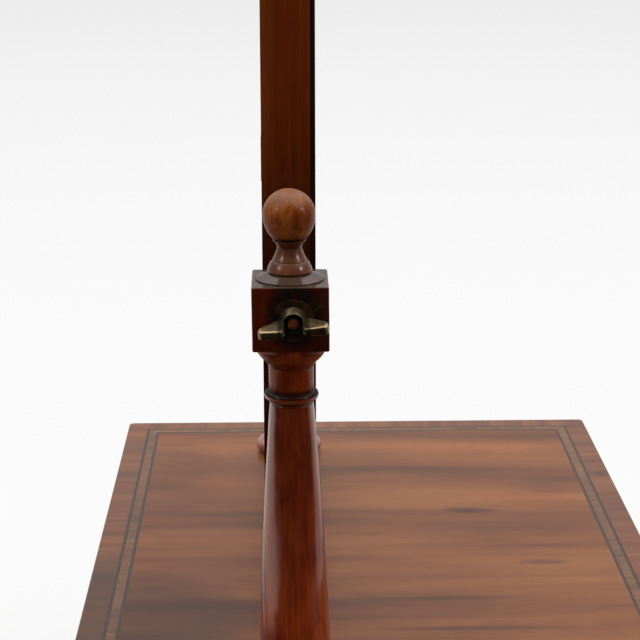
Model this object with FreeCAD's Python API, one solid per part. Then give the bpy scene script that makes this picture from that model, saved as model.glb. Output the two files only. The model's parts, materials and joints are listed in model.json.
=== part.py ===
"""Box swing mirror for a dressing table: a mirror on two turned posts over a box with two drawers.

Millimetres. The origin is on the surface that the feet stand on, under the middle of the object.
+X runs along the box to the right, +Y to the back and +Z up. The drawers open towards -Y.
"""

import FreeCAD, Part
import math
import os

# Box: overall sizes and boards
TOP_LENGTH = 405.0
TOP_DEPTH = 258.5
TOP_BOARD = 13.0
VENEER = 1.0
TOP_CORNER_ROUND = 2.5
TOP_LOWER_ROUND = 3.0
TOP_UPPER_ROUND = 0.6
TOP_OVERHANG = 4.0
TOP_BACK_OVERHANG = 2.0
BAY_HEIGHT = 74.0
END_BOARD = 10.0
BACK_BOARD = 8.0
BOTTOM_BOARD = 12.0
PARTITION = 10.0
REBATE = 4.0
HOUSING = 3.0

# Inlay of the top, counted inwards from its edge
CROSSBAND_WIDTH = 11.0
LINE_WIDTH = 1.5
MIDBAND_WIDTH = 4.0

# Plinth moulding and bun feet
PLINTH_HEIGHT = 10.0
PLINTH_PROJECTION = 4.0
PLINTH_STEP = 1.0
FOOT_HEIGHT = 24.0
FOOT_RADIUS = 17.0
FOOT_SOLE_RADIUS = 9.0
FOOT_NECK_RADIUS = 11.0
FOOT_NECK = 3.0
FOOT_INSET = 30.0
FOOT_PEG_RADIUS = 5.0
FOOT_PEG = 8.0

# Drawers
DRAWER_FRONT = 14.0
DRAWER_SIDE = 7.0
DRAWER_SIDE_DROP = 12.0
DRAWER_BACK = 7.0
DRAWER_BACK_DROP = 4.0
DRAWER_BOTTOM = 4.0
DRAWER_BOTTOM_RISE = 6.0
DRAWER_GROOVE = 3.0
DRAWER_FRONT_GROOVE = 4.0
DRAWER_REAR_SPACE = 14.0
DRAWER_GAP = 0.4
DRAWER_LINE_INSET = 9.0
DRAWER_LINE_DEPTH = 1.0
TAIL_COUNT = 3
TAIL_LENGTH = 9.0
TAIL_ROOT = 8.0
TAIL_TIP = 12.0
TAIL_ROOT_SHARE = 0.6
TAIL_TIP_SHARE = 0.8
STOP_LENGTH = 20.0
STOP_DEPTH = 14.0
STOP_HEIGHT = 4.0

# Turned brass knobs
KNOB_REACH = 20.0
KNOB_RADIUS = 8.5
KNOB_ROSE_RADIUS = 7.0
KNOB_ROSE = 2.2
KNOB_NECK_RADIUS = 3.8
KNOB_NECK_FLARE = 0.8
KNOB_DOME = 6.0
KNOB_BELLY_OUT = 0.72
KNOB_BELLY_RISE = 0.4
KNOB_SHANK_RADIUS = 2.5
KNOB_NUT_RADIUS = 5.5
KNOB_NUT = 3.5
KNOB_NUT_SIDES = 6
KNOB_SHANK_END = 1.5

# Turned posts with a square block at the swing height
POST_END_INSET = 47.0
POST_SETBACK = 90.5
POST_TENON_RADIUS = 7.0
POST_TENON = 9.0
POST_RING_RADIUS = 17.5
POST_RING = 7.0
POST_FILLET_RADIUS = 12.2
POST_FILLET = 1.6
POST_PINCH_RADIUS = 10.6
POST_PINCH_RISE = 3.2
POST_SWELL_RADIUS = 13.35
POST_SWELL_RISE = 17.0
POST_WAIST_RADIUS = 11.3
POST_COLUMN_RADIUS = 7.85
POST_QUIRK = 0.35
POST_BEAD_RADIUS = 8.15
POST_BEAD = 0.95
POST_ASTRAGAL_RADIUS = 9.75
POST_ASTRAGAL = 3.5
POST_ASTRAGAL_CROWN = 0.54
POST_NECK_RADIUS = 8.1
POST_NECK_HOLLOW = 0.05
POST_NECK = 8.5
POST_OGEE = 7.05
POST_OGEE_RADIUS = 9.5
POST_OGEE_RISE = 2.8
POST_CROWN_RADIUS = 11.5
POST_CROWN_RISE = 4.9
POST_ARRIS_RADIUS = 12.7
POST_SHOULDER = 2.1
POST_SHOULDER_RADIUS = 12.9
BLOCK = 27.0
BLOCK_HEIGHT = 23.3
BLOCK_ROUND = 0.7
SEAT_RADIUS = 12.2
SEAT_STEP = 0.5
SEAT_RISE = 2.5
SCREW_RADIUS = 1.9
SCREW_HEAD_RADIUS = 3.8
SCREW_HEAD = 2.6
SCREW_GRIP = 22.0

# Ball finials
FINIAL_PEG_RADIUS = 3.5
FINIAL_PEG = 7.0
FINIAL_SEAT_RADIUS = 7.3
FINIAL_BELL_RADIUS = 8.0
FINIAL_BELL_EDGE = 0.65
FINIAL_BELL = 4.1
FINIAL_BELL_TOP_RADIUS = 6.5
FINIAL_BELL_BULGE = 0.2
FINIAL_EDGE_OUT = 0.72
FINIAL_EDGE_UP = 0.3
FINIAL_GROOVE = 0.4
FINIAL_NECK_RADIUS = 4.35
FINIAL_NECK_RISE = 4.5
FINIAL_NECK_FLARE = 0.38
FINIAL_COLLAR_RADIUS = 5.87
FINIAL_COLLAR_RISE = 2.35
FINIAL_COLLAR = 0.4
FINIAL_LIP_BITE = 0.33
FINIAL_LIP_RISE = 0.5
FINIAL_QUIRK = 0.3
FINIAL_QUIRK_DEPTH = 0.5
FINIAL_BALL_RADIUS = 9.3
FINIAL_BALL_RISE = 8.3

# Mirror frame, glass and backboard
FRAME_HEIGHT = 304.0
FRAME_THICKNESS = 19.25
FRAME_MEMBER = 26.0
FRAME_LIP = 6.0
SIGHT_CHAMFER = 3.0
SWING_CLEARANCE = 11.0
PIVOT_FORWARD = 1.3
PIVOT_GAP = 2.5
EDGING = 1.8
KEY_LEG = 20.0
KEY_THICKNESS = 2.5
GLASS = 4.0
GLASS_LAP = 6.0
GLASS_PLAY = 1.0
GLASS_BEVEL = 18.0
GLASS_BEVEL_DROP = 1.2
BACKBOARD = 5.0
BACKBOARD_LAP = 12.0
BACKBOARD_RECESS = 1.0
BACKBOARD_PLAY = 0.5
GLASS_BLOCK_LENGTH = 32.0
GLASS_BLOCK_SPREAD = 0.4
BACK_SCREW_RADIUS = 1.2
BACK_SCREW_HEAD_RADIUS = 2.5
BACK_SCREW_HEAD = 1.6
BACK_SCREW_GRIP = 6.0
BACK_SCREW_INSET = 3.2
BACK_SCREW_SPREAD_X = 0.5
BACK_SCREW_SPREAD_Z = 0.8

# Pivots: plate let into the stile, stud through the block, spacer, washer and wing nut
PLATE_WIDTH = 12.0
PLATE_HEIGHT = 30.0
PLATE = 2.0
PLATE_SCREW_SPACING = 21.0
PLATE_SCREW_RADIUS = 1.3
PLATE_SCREW_HEAD_RADIUS = 2.3
PLATE_SCREW_GRIP = 10.0
STUD_RADIUS = 2.25
STUD_HEAD = 9.0
STUD_HEAD_DEPTH = 2.5
STUD_RECESS = 0.3
SPACER_RADIUS = 9.0
SPACER_GAP = 0.2
WASHER_RADIUS = 7.5
WASHER = 1.0
NUT_GAP = 0.15
NUT_BASE_RADIUS = 5.4
NUT_MOUTH_RADIUS = 3.9
NUT_LENGTH = 5.0
NUT_CUP_RADIUS = 3.0
NUT_CUP = 1.2
WING_SPAN = 24.2
WING_GAP = 6.2
WING_REACH = 16.4
WING_TIP = 5.4
WING_ROUND_SHARE = 0.47
WING_ROOT = 1.75
WING_ROOT_RISE = 1.6
WING_THICKNESS = 3.1
WING_EDGE_SHARE = 0.25
NUT_TURN_LEFT = -5.3
NUT_TURN_RIGHT = 11.0

# Clearances
GLUE_FIT = 0.05
RUNNING_FIT = 0.05
BLIND_END = 0.3
SAME_PLACE = 1e-6

# Levels and planes worked out from the sizes above
BOTTOM_Z = FOOT_HEIGHT
BAY_Z = BOTTOM_Z + BOTTOM_BOARD
BOARD_Z = BAY_Z + BAY_HEIGHT
VENEER_Z = BOARD_Z + TOP_BOARD
TOP_Z = VENEER_Z + VENEER
PIVOT_RISE = FRAME_HEIGHT / 2 + SWING_CLEARANCE
PIVOT_Z = TOP_Z + PIVOT_RISE
KNOB_STAND = max(KNOB_REACH - TOP_OVERHANG, 0.0)
TOP_BACK_Y = (TOP_DEPTH + KNOB_STAND) / 2
TOP_FRONT_Y = TOP_BACK_Y - TOP_DEPTH
TOP_X = TOP_LENGTH / 2
BOX_X = TOP_X - TOP_OVERHANG
BOX_FRONT_Y = TOP_FRONT_Y + TOP_OVERHANG
BOX_BACK_Y = TOP_BACK_Y - TOP_BACK_OVERHANG
INNER_X = BOX_X - END_BOARD
INNER_BACK_Y = BOX_BACK_Y - BACK_BOARD
POST_X = TOP_X - POST_END_INSET
POST_Y = TOP_BACK_Y - POST_SETBACK
PIVOT_Y = POST_Y - PIVOT_FORWARD
FRAME_X = POST_X - BLOCK / 2 - PIVOT_GAP
FRAME_FRONT_Y = POST_Y - FRAME_THICKNESS / 2
FRAME_BACK_Y = POST_Y + FRAME_THICKNESS / 2
FRAME_BOTTOM_Z = PIVOT_Z - FRAME_HEIGHT / 2
FRAME_TOP_Z = PIVOT_Z + FRAME_HEIGHT / 2
BLOCK_FACE_X = POST_X + BLOCK / 2
LEFT = -1
RIGHT = 1
SIDES = {"left": LEFT, "right": RIGHT}


def vector(x, y, z):
    """Point or direction."""
    return FreeCAD.Vector(x, y, z)


def box(x_range, y_range, z_range):
    """Block between two values on each axis, in either order."""
    low = vector(min(x_range), min(y_range), min(z_range))
    size = [max(r) - min(r) for r in (x_range, y_range, z_range)]
    return Part.makeBox(size[0], size[1], size[2], low)


def prism(corners, plane, levels):
    """Straight prism over a polygon drawn in the XY or XZ plane, between two levels."""
    low, high = levels
    if plane == "XY":
        points = [vector(u, v, low) for u, v in corners]
        run = vector(0, 0, high - low)
    else:
        points = [vector(u, low, v) for u, v in corners]
        run = vector(0, high - low, 0)
    return Part.Face(Part.makePolygon(points + points[:1])).extrude(run)


def mitred_strips(u_range, v_range, width, plane, levels):
    """Four mitred strips round a rectangle: low u, high u, low v and high v side."""
    u0, u1 = u_range
    v0, v1 = v_range
    outer = [(u0, v0), (u1, v0), (u1, v1), (u0, v1)]
    inner = [(u0 + width, v0 + width), (u1 - width, v0 + width)]
    inner += [(u1 - width, v1 - width), (u0 + width, v1 - width)]
    sides = [(3, 0), (1, 2), (0, 1), (2, 3)]
    return [prism([outer[a], outer[b], inner[b], inner[a]], plane, levels) for a, b in sides]


def rod(radius, start, end):
    """Round bar from one point to another."""
    run = end.sub(start)
    return Part.makeCylinder(radius, run.Length, start, run)


def cone(radii, start, end):
    """Tapered round bar, with the radius at each end."""
    run = end.sub(start)
    return Part.makeCone(radii[0], radii[1], run.Length, start, run)


def screw(radius, head_radius, head, grip, point, inward):
    """Countersunk screw with its flat head at a point, driven along a direction."""
    neck = point.add(inward * head)
    tip = neck.add(inward * grip)
    return cone((head_radius, radius), point, neck).fuse(rod(radius, neck, tip)).removeSplitter()


class Turning:
    """Half section of a turned piece, drawn upwards from a point on its axis as (radius, height)."""

    def __init__(self, height):
        self.here = (0.0, height)
        self.edges = []

    def line(self, radius, height):
        """Straight run to a point."""
        self.edges.append(Part.LineSegment(self.point(self.here), self.point((radius, height))).toShape())
        self.here = (radius, height)

    def arc(self, through, end):
        """Round run through one point to another."""
        self.edges.append(Part.Arc(self.point(self.here), self.point(through), self.point(end)).toShape())
        self.here = end

    def smooth_arcs(self, join, through, end):
        """Round run to a point, running smoothly into a second one through another point to the end."""
        onward = Part.Arc(self.point(join), self.point(through), self.point(end))
        heading = onward.tangent(onward.FirstParameter)[0]
        across = vector(-heading.z, 0, heading.x)
        start = self.point(self.here)
        middle = self.point(join)
        chord = start.sub(middle)
        centre = middle.add(across * (chord.dot(chord) / (2 * chord.dot(across))))
        radius = middle.sub(centre).Length
        halfway = start.sub(centre).add(middle.sub(centre)).normalize() * radius
        crown = centre.add(halfway)
        self.arc((crown.x, crown.z), join)
        self.arc(through, end)

    def solid(self, axis_bottom):
        """Solid of revolution about Z, closed along the axis."""
        if self.here[0] > 0:
            self.line(0.0, self.here[1])
        self.line(0.0, axis_bottom)
        face = Part.Face(Part.Wire(self.edges))
        return Part.makeSolid(face.revolve(vector(0, 0, 0), vector(0, 0, 1), 360))

    @staticmethod
    def point(place):
        """Place of a section point in the XZ plane."""
        return vector(place[0], 0, place[1])


def moved(shape, x, y, z):
    """Copy of a shape at a new place."""
    copy = shape.copy()
    copy.translate(vector(x, y, z))
    return copy


def outer_edges(shape, z):
    """Edges of a shape that lie in one level plane."""
    return [e for e in shape.Edges if all(abs(v.Z - z) < SAME_PLACE for v in e.Vertexes)]


def upright_edges(shape):
    """Straight vertical edges of a shape."""
    return [e for e in shape.Edges if abs(abs(e.tangentAt(e.FirstParameter).z) - 1) < SAME_PLACE]


def top_slab(levels):
    """Slab with the outline of the top, its four corners rounded."""
    slab = box((-TOP_X, TOP_X), (TOP_FRONT_Y, TOP_BACK_Y), levels)
    return slab.makeFillet(TOP_CORNER_ROUND, upright_edges(slab))


def post_places():
    """Axis of each post in plan, as (x, y)."""
    return [(side * POST_X, POST_Y) for side in SIDES.values()]


def tenon_sockets():
    """Cutters for the round sockets of the posts in the top."""
    floor = TOP_Z - POST_TENON - BLIND_END
    radius = POST_TENON_RADIUS + GLUE_FIT
    return [rod(radius, vector(x, y, floor), vector(x, y, TOP_Z)) for x, y in post_places()]


def post_screw_set():
    """One screw up through the top into the tenon of each post."""
    up = vector(0, 0, 1)
    return [
        screw(SCREW_RADIUS, SCREW_HEAD_RADIUS, SCREW_HEAD, SCREW_GRIP, vector(x, y, BOARD_Z), up)
        for x, y in post_places()
    ]


def make_top():
    """Top board with its veneers: crossbanding, two inlaid lines, the strip between them and the field."""
    board = top_slab((BOARD_Z, VENEER_Z))
    board = board.makeFillet(TOP_LOWER_ROUND, outer_edges(board, BOARD_Z))
    half = PARTITION / 2
    housing = box((-half, half), (BOX_FRONT_Y, INNER_BACK_Y), (BOARD_Z, BOARD_Z + HOUSING))
    board = board.cut(tenon_sockets() + post_screw_set() + [housing])

    rounded = top_slab((VENEER_Z, TOP_Z))
    rounded = rounded.makeFillet(min(TOP_UPPER_ROUND, VENEER / 2), outer_edges(rounded, TOP_Z))
    levels = (VENEER_Z, TOP_Z)
    widths = [CROSSBAND_WIDTH, LINE_WIDTH, MIDBAND_WIDTH, LINE_WIDTH]
    rings = []
    inset = 0.0
    for width in widths:
        across = (-TOP_X + inset, TOP_X - inset)
        along = (TOP_FRONT_Y + inset, TOP_BACK_Y - inset)
        rings.append(mitred_strips(across, along, width, "XY", levels))
        inset += width
    rings[0] = [strip.common(rounded) for strip in rings[0]]
    field = box((-TOP_X + inset, TOP_X - inset), (TOP_FRONT_Y + inset, TOP_BACK_Y - inset), levels)
    return {
        "top_board": [board],
        "top_crossbanding": rings[0],
        "top_stringing": rings[1] + rings[3],
        "top_midband": rings[2],
        "top_field": [field.cut(tenon_sockets())],
    }


def foot_places():
    """Name and plan place of each foot."""
    x = BOX_X - FOOT_INSET
    rows = {"front": BOX_FRONT_Y + FOOT_INSET, "back": BOX_BACK_Y - FOOT_INSET}
    return {f"foot_{row}_{name}": (side * x, y) for row, y in rows.items() for name, side in SIDES.items()}


def make_carcase():
    """Ends, back, bottom, partition and drawer stops of the box."""
    pieces = {}
    depth = (BOX_FRONT_Y, BOX_BACK_Y)
    tongue_x = INNER_X + REBATE
    bottom = box((-tongue_x, tongue_x), depth, (BOTTOM_Z, BAY_Z))
    back = box((-tongue_x, tongue_x), (INNER_BACK_Y, BOX_BACK_Y), (BAY_Z, BOARD_Z))
    half = PARTITION / 2
    partition = box((-half, half), (BOX_FRONT_Y, INNER_BACK_Y), (BAY_Z - HOUSING, BOARD_Z + HOUSING))
    for name, side in SIDES.items():
        end = box((side * INNER_X, side * BOX_X), depth, (BOTTOM_Z, BOARD_Z))
        pieces[f"end_{name}"] = [end.cut(bottom).cut(back)]
    bottom = bottom.cut(partition)
    socket_top = BOTTOM_Z + FOOT_PEG + BLIND_END
    sockets = [
        rod(FOOT_PEG_RADIUS + GLUE_FIT, vector(x, y, BOTTOM_Z), vector(x, y, socket_top))
        for x, y in foot_places().values()
    ]
    pieces["bottom_board"] = [bottom.cut(sockets)]
    pieces["back_panel"] = [back]
    pieces["partition"] = [partition]
    stops = []
    stop_y = BOX_FRONT_Y + DRAWER_FRONT + DRAWER_GAP
    for side in SIDES.values():
        inner, outer = drawer_width(side)
        for place in (inner + (outer - inner) / 4, outer - (outer - inner) / 4):
            reach = (place - STOP_LENGTH / 2, place + STOP_LENGTH / 2)
            stops.append(box(reach, (stop_y, stop_y + STOP_DEPTH), (BAY_Z, BAY_Z + STOP_HEIGHT)))
    pieces["drawer_stops"] = stops
    return pieces


def plinth_run(length):
    """Straight length of plinth moulding along X, its back on the XZ plane and its face towards -Y."""
    face = PLINTH_PROJECTION
    step = min(PLINTH_STEP, face / 2)
    lip = PLINTH_HEIGHT / 2
    diagonal = math.sin(math.pi / 4)
    belly_y = -face + (face - step) * (1 - diagonal)
    belly_z = lip + (PLINTH_HEIGHT - lip - step) * diagonal
    corners = [(0, 0), (-face, 0), (-face, lip), (-step, PLINTH_HEIGHT - step), (-step, PLINTH_HEIGHT)]
    corners += [(0, PLINTH_HEIGHT)]
    points = [vector(-length / 2, y, z) for y, z in corners]
    edges = [Part.LineSegment(points[0], points[1]).toShape()]
    edges.append(Part.LineSegment(points[1], points[2]).toShape())
    edges.append(Part.Arc(points[2], vector(-length / 2, belly_y, belly_z), points[3]).toShape())
    edges.append(Part.LineSegment(points[3], points[4]).toShape())
    edges.append(Part.LineSegment(points[4], points[5]).toShape())
    edges.append(Part.LineSegment(points[5], points[0]).toShape())
    return Part.Face(Part.Wire(edges)).extrude(vector(length, 0, 0))


def make_plinth():
    """Plinth mouldings on the front and the two ends, mitred at the front corners."""
    outer_x = BOX_X + PLINTH_PROJECTION
    outer_y = BOX_FRONT_Y - PLINTH_PROJECTION
    levels = (BOTTOM_Z, BOTTOM_Z + PLINTH_HEIGHT)
    corners = [(-outer_x, outer_y), (outer_x, outer_y), (BOX_X, BOX_FRONT_Y), (-BOX_X, BOX_FRONT_Y)]
    front = moved(plinth_run(2 * outer_x), 0, BOX_FRONT_Y, BOTTOM_Z)
    pieces = {"plinth_front": [front.common(prism(corners, "XY", levels))]}
    side_length = BOX_BACK_Y - outer_y
    for name, side in SIDES.items():
        run = plinth_run(side_length)
        run.rotate(vector(0, 0, 0), vector(0, 0, 1), side * 90)
        run = moved(run, side * BOX_X, outer_y + side_length / 2, BOTTOM_Z)
        corners = [(side * BOX_X, BOX_FRONT_Y), (side * outer_x, outer_y)]
        corners += [(side * outer_x, BOX_BACK_Y), (side * BOX_X, BOX_BACK_Y)]
        pieces[f"plinth_{name}"] = [run.common(prism(corners, "XY", levels))]
    return pieces


def make_feet():
    """Four turned bun feet with pegs in the bottom board."""
    section = Turning(0.0)
    section.line(FOOT_SOLE_RADIUS, 0.0)
    belly = FOOT_HEIGHT - FOOT_NECK
    section.arc((FOOT_RADIUS, belly / 2), (FOOT_NECK_RADIUS, belly))
    section.line(FOOT_NECK_RADIUS, FOOT_HEIGHT)
    section.line(FOOT_PEG_RADIUS, FOOT_HEIGHT)
    section.line(FOOT_PEG_RADIUS, FOOT_HEIGHT + FOOT_PEG)
    foot = section.solid(0.0)
    return {name: [moved(foot, x, y, 0)] for name, (x, y) in foot_places().items()}


def drawer_width(side):
    """Inner and outer face of a drawer, as x."""
    return side * (PARTITION / 2 + DRAWER_GAP), side * (INNER_X - DRAWER_GAP)


def knob_outline():
    """Turned knob along +Z, standing on its rose at height 0."""
    rim_z = KNOB_REACH - KNOB_DOME
    neck_top = (KNOB_ROSE + rim_z) / 2
    flare = KNOB_NECK_RADIUS + KNOB_NECK_FLARE
    belly_radius = flare + (KNOB_RADIUS - flare) * KNOB_BELLY_OUT
    belly_z = neck_top + (rim_z - neck_top) * KNOB_BELLY_RISE
    cap = (KNOB_RADIUS ** 2 + KNOB_DOME ** 2) / (2 * KNOB_DOME)
    half_turn = math.asin(KNOB_RADIUS / cap) / 2
    section = Turning(0.0)
    section.line(KNOB_ROSE_RADIUS, 0.0)
    section.line(KNOB_ROSE_RADIUS, KNOB_ROSE / 2)
    section.line(flare, KNOB_ROSE)
    section.arc((KNOB_NECK_RADIUS, (KNOB_ROSE + neck_top) / 2), (flare, neck_top))
    section.arc((belly_radius, belly_z), (KNOB_RADIUS, rim_z))
    crown_z = KNOB_REACH - cap * (1 - math.cos(half_turn))
    section.arc((cap * math.sin(half_turn), crown_z), (0.0, KNOB_REACH))
    return section.solid(0.0)


def make_knob(x, z):
    """Brass knob with its shank through the drawer front, and the nut behind."""
    start = vector(x, BOX_FRONT_Y, z)
    nut_face = BOX_FRONT_Y + DRAWER_FRONT
    shank = rod(KNOB_SHANK_RADIUS, start, vector(x, nut_face + KNOB_NUT + KNOB_SHANK_END, z))
    knob = knob_outline()
    knob.rotate(vector(0, 0, 0), vector(1, 0, 0), 90)
    knob = moved(knob, x, BOX_FRONT_Y, z).fuse(shank).removeSplitter()
    turns = [math.tau * i / KNOB_NUT_SIDES for i in range(KNOB_NUT_SIDES)]
    corners = [(x + KNOB_NUT_RADIUS * math.cos(a), z + KNOB_NUT_RADIUS * math.sin(a)) for a in turns]
    nut = prism(corners, "XZ", (nut_face, nut_face + KNOB_NUT))
    hole = rod(KNOB_SHANK_RADIUS + GLUE_FIT, start, vector(x, nut_face + KNOB_NUT, z))
    return knob, nut.cut(hole), hole


def dovetails(x_range, bottom_z, height):
    """Tails on the front end of a drawer side, as one cutter or one set of solids."""
    root_y = BOX_FRONT_Y + DRAWER_FRONT
    tip_y = root_y - TAIL_LENGTH
    pitch = height / TAIL_COUNT
    tails = []
    for i in range(TAIL_COUNT):
        middle = bottom_z + pitch * i + pitch / 2
        root = min(TAIL_ROOT, pitch * TAIL_ROOT_SHARE) / 2
        tip = min(TAIL_TIP, pitch * TAIL_TIP_SHARE) / 2
        corners = [(root_y, middle - root), (root_y, middle + root)]
        corners += [(tip_y, middle + tip), (tip_y, middle - tip)]
        points = [vector(min(x_range), y, z) for y, z in corners]
        face = Part.Face(Part.makePolygon(points + points[:1]))
        tails.append(face.extrude(vector(max(x_range) - min(x_range), 0, 0)))
    return tails


def make_drawer(name, side):
    """One drawer: dovetailed front and sides, back, bottom, inlaid line, knob and nut."""
    x0, x1 = sorted(drawer_width(side))
    z0 = BAY_Z + DRAWER_GAP
    z1 = BOARD_Z - DRAWER_GAP
    front_back_y = BOX_FRONT_Y + DRAWER_FRONT
    rear_y = INNER_BACK_Y - DRAWER_REAR_SPACE
    side_top = z1 - DRAWER_SIDE_DROP
    bottom_z = z0 + DRAWER_BOTTOM_RISE
    panel_z = bottom_z + DRAWER_BOTTOM
    inner = (x0 + DRAWER_SIDE, x1 - DRAWER_SIDE)
    grooved = (inner[0] - DRAWER_GROOVE, inner[1] + DRAWER_GROOVE)
    panel = box(grooved, (front_back_y - DRAWER_FRONT_GROOVE, rear_y), (bottom_z, panel_z))
    back = box(grooved, (rear_y - DRAWER_BACK, rear_y), (panel_z, side_top - DRAWER_BACK_DROP))
    front = box((x0, x1), (BOX_FRONT_Y, front_back_y), (z0, z1)).cut(panel)
    walls = {"left": (x0, inner[0]), "right": (inner[1], x1)}
    pieces = {}
    for wall, reach in walls.items():
        tails = dovetails(reach, z0, side_top - z0)
        board = box(reach, (front_back_y, rear_y), (z0, side_top))
        front = front.cut(tails)
        pieces[f"drawer_{name}_side_{wall}"] = [board.fuse(tails).removeSplitter().cut([panel, back])]
    inset = DRAWER_LINE_INSET
    lines = mitred_strips(
        (x0 + inset, x1 - inset),
        (z0 + inset, z1 - inset),
        LINE_WIDTH,
        "XZ",
        (BOX_FRONT_Y, BOX_FRONT_Y + DRAWER_LINE_DEPTH),
    )
    knob, nut, hole = make_knob((x0 + x1) / 2, (z0 + z1) / 2)
    pieces[f"drawer_{name}_front"] = [front.cut([hole] + lines)]
    pieces[f"drawer_{name}_back"] = [back]
    pieces[f"drawer_{name}_bottom"] = [panel]
    pieces[f"drawer_{name}_stringing"] = lines
    pieces[f"drawer_{name}_knob"] = [knob]
    pieces[f"drawer_{name}_knob_nut"] = [nut]
    return pieces


def post_turning():
    """Turned part of a post, from its tenon up to the under side of the block, box top at height 0."""
    block_z = PIVOT_RISE - BLOCK_HEIGHT / 2
    arris_z = block_z - POST_SHOULDER
    neck_top = arris_z - POST_OGEE
    neck_bottom = neck_top - POST_NECK
    ring_bottom = neck_bottom - POST_ASTRAGAL
    bead_bottom = ring_bottom - POST_BEAD
    column_top = bead_bottom - POST_QUIRK
    pinch_z = POST_RING + POST_FILLET + POST_PINCH_RISE
    swell_z = pinch_z + POST_SWELL_RISE
    waist_z = (swell_z + column_top) / 2
    section = Turning(-POST_TENON)
    section.line(POST_TENON_RADIUS, -POST_TENON)
    section.line(POST_TENON_RADIUS, 0.0)
    ring_side = POST_RING_RADIUS - POST_RING / 2
    section.line(ring_side, 0.0)
    section.arc((POST_RING_RADIUS, POST_RING / 2), (ring_side, POST_RING))
    section.line(POST_FILLET_RADIUS, POST_RING)
    section.line(POST_FILLET_RADIUS, POST_RING + POST_FILLET)
    section.line(POST_PINCH_RADIUS, pinch_z)
    section.smooth_arcs(
        (POST_SWELL_RADIUS, swell_z), (POST_WAIST_RADIUS, waist_z), (POST_COLUMN_RADIUS, column_top)
    )
    section.line(POST_COLUMN_RADIUS - POST_QUIRK / 2, bead_bottom)
    section.arc((POST_BEAD_RADIUS, bead_bottom + POST_BEAD / 2), (POST_COLUMN_RADIUS, ring_bottom))
    crown_z = neck_bottom - POST_ASTRAGAL * POST_ASTRAGAL_CROWN
    section.arc((POST_ASTRAGAL_RADIUS, crown_z), (POST_NECK_RADIUS, neck_bottom))
    hollow_radius = POST_NECK_RADIUS - POST_NECK_HOLLOW
    section.arc((hollow_radius, (neck_bottom + neck_top) / 2), (POST_NECK_RADIUS, neck_top))
    hollow_end = (POST_OGEE_RADIUS, neck_top + POST_OGEE_RISE)
    crown = (POST_CROWN_RADIUS, neck_top + POST_CROWN_RISE)
    section.smooth_arcs(hollow_end, crown, (POST_ARRIS_RADIUS, arris_z))
    section.line(POST_SHOULDER_RADIUS, block_z)
    return section.solid(-POST_TENON)


def post_block():
    """Square block of a post, with the round seat of the finial on top, which is a low step and a cone."""
    half = BLOCK / 2
    low = PIVOT_RISE - BLOCK_HEIGHT / 2
    high = PIVOT_RISE + BLOCK_HEIGHT / 2
    block = box((-half, half), (-half, half), (low, high))
    block = block.makeFillet(BLOCK_ROUND, block.Edges)
    step_top = vector(0, 0, high + SEAT_STEP)
    step = rod(SEAT_RADIUS, vector(0, 0, high - BLOCK_ROUND), step_top)
    seat = cone((SEAT_RADIUS, FINIAL_SEAT_RADIUS), step_top, vector(0, 0, high + SEAT_RISE))
    return block.fuse(step).fuse(seat)


def make_posts():
    """Two posts, their finials, and the screws that hold them to the top."""
    seat_z = PIVOT_RISE + BLOCK_HEIGHT / 2 + SEAT_RISE
    post = post_turning().fuse(post_block()).removeSplitter()
    bore_ends = [vector(side * BLOCK, -PIVOT_FORWARD, PIVOT_RISE) for side in (LEFT, RIGHT)]
    bore = rod(STUD_RADIUS + RUNNING_FIT, bore_ends[0], bore_ends[1])
    peg_floor = vector(0, 0, seat_z - FINIAL_PEG - BLIND_END)
    socket = rod(FINIAL_PEG_RADIUS + GLUE_FIT, peg_floor, vector(0, 0, seat_z))
    post = post.cut(bore).cut(socket)
    finial = finial_turning()
    screws = post_screw_set()
    pieces = {"post_screws": screws}
    for name, side in SIDES.items():
        standing = moved(post, side * POST_X, POST_Y, TOP_Z)
        pieces[f"post_{name}"] = [standing.cut(screws)]
        pieces[f"finial_{name}"] = [moved(finial, side * POST_X, POST_Y, TOP_Z + seat_z)]
    return pieces


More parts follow.
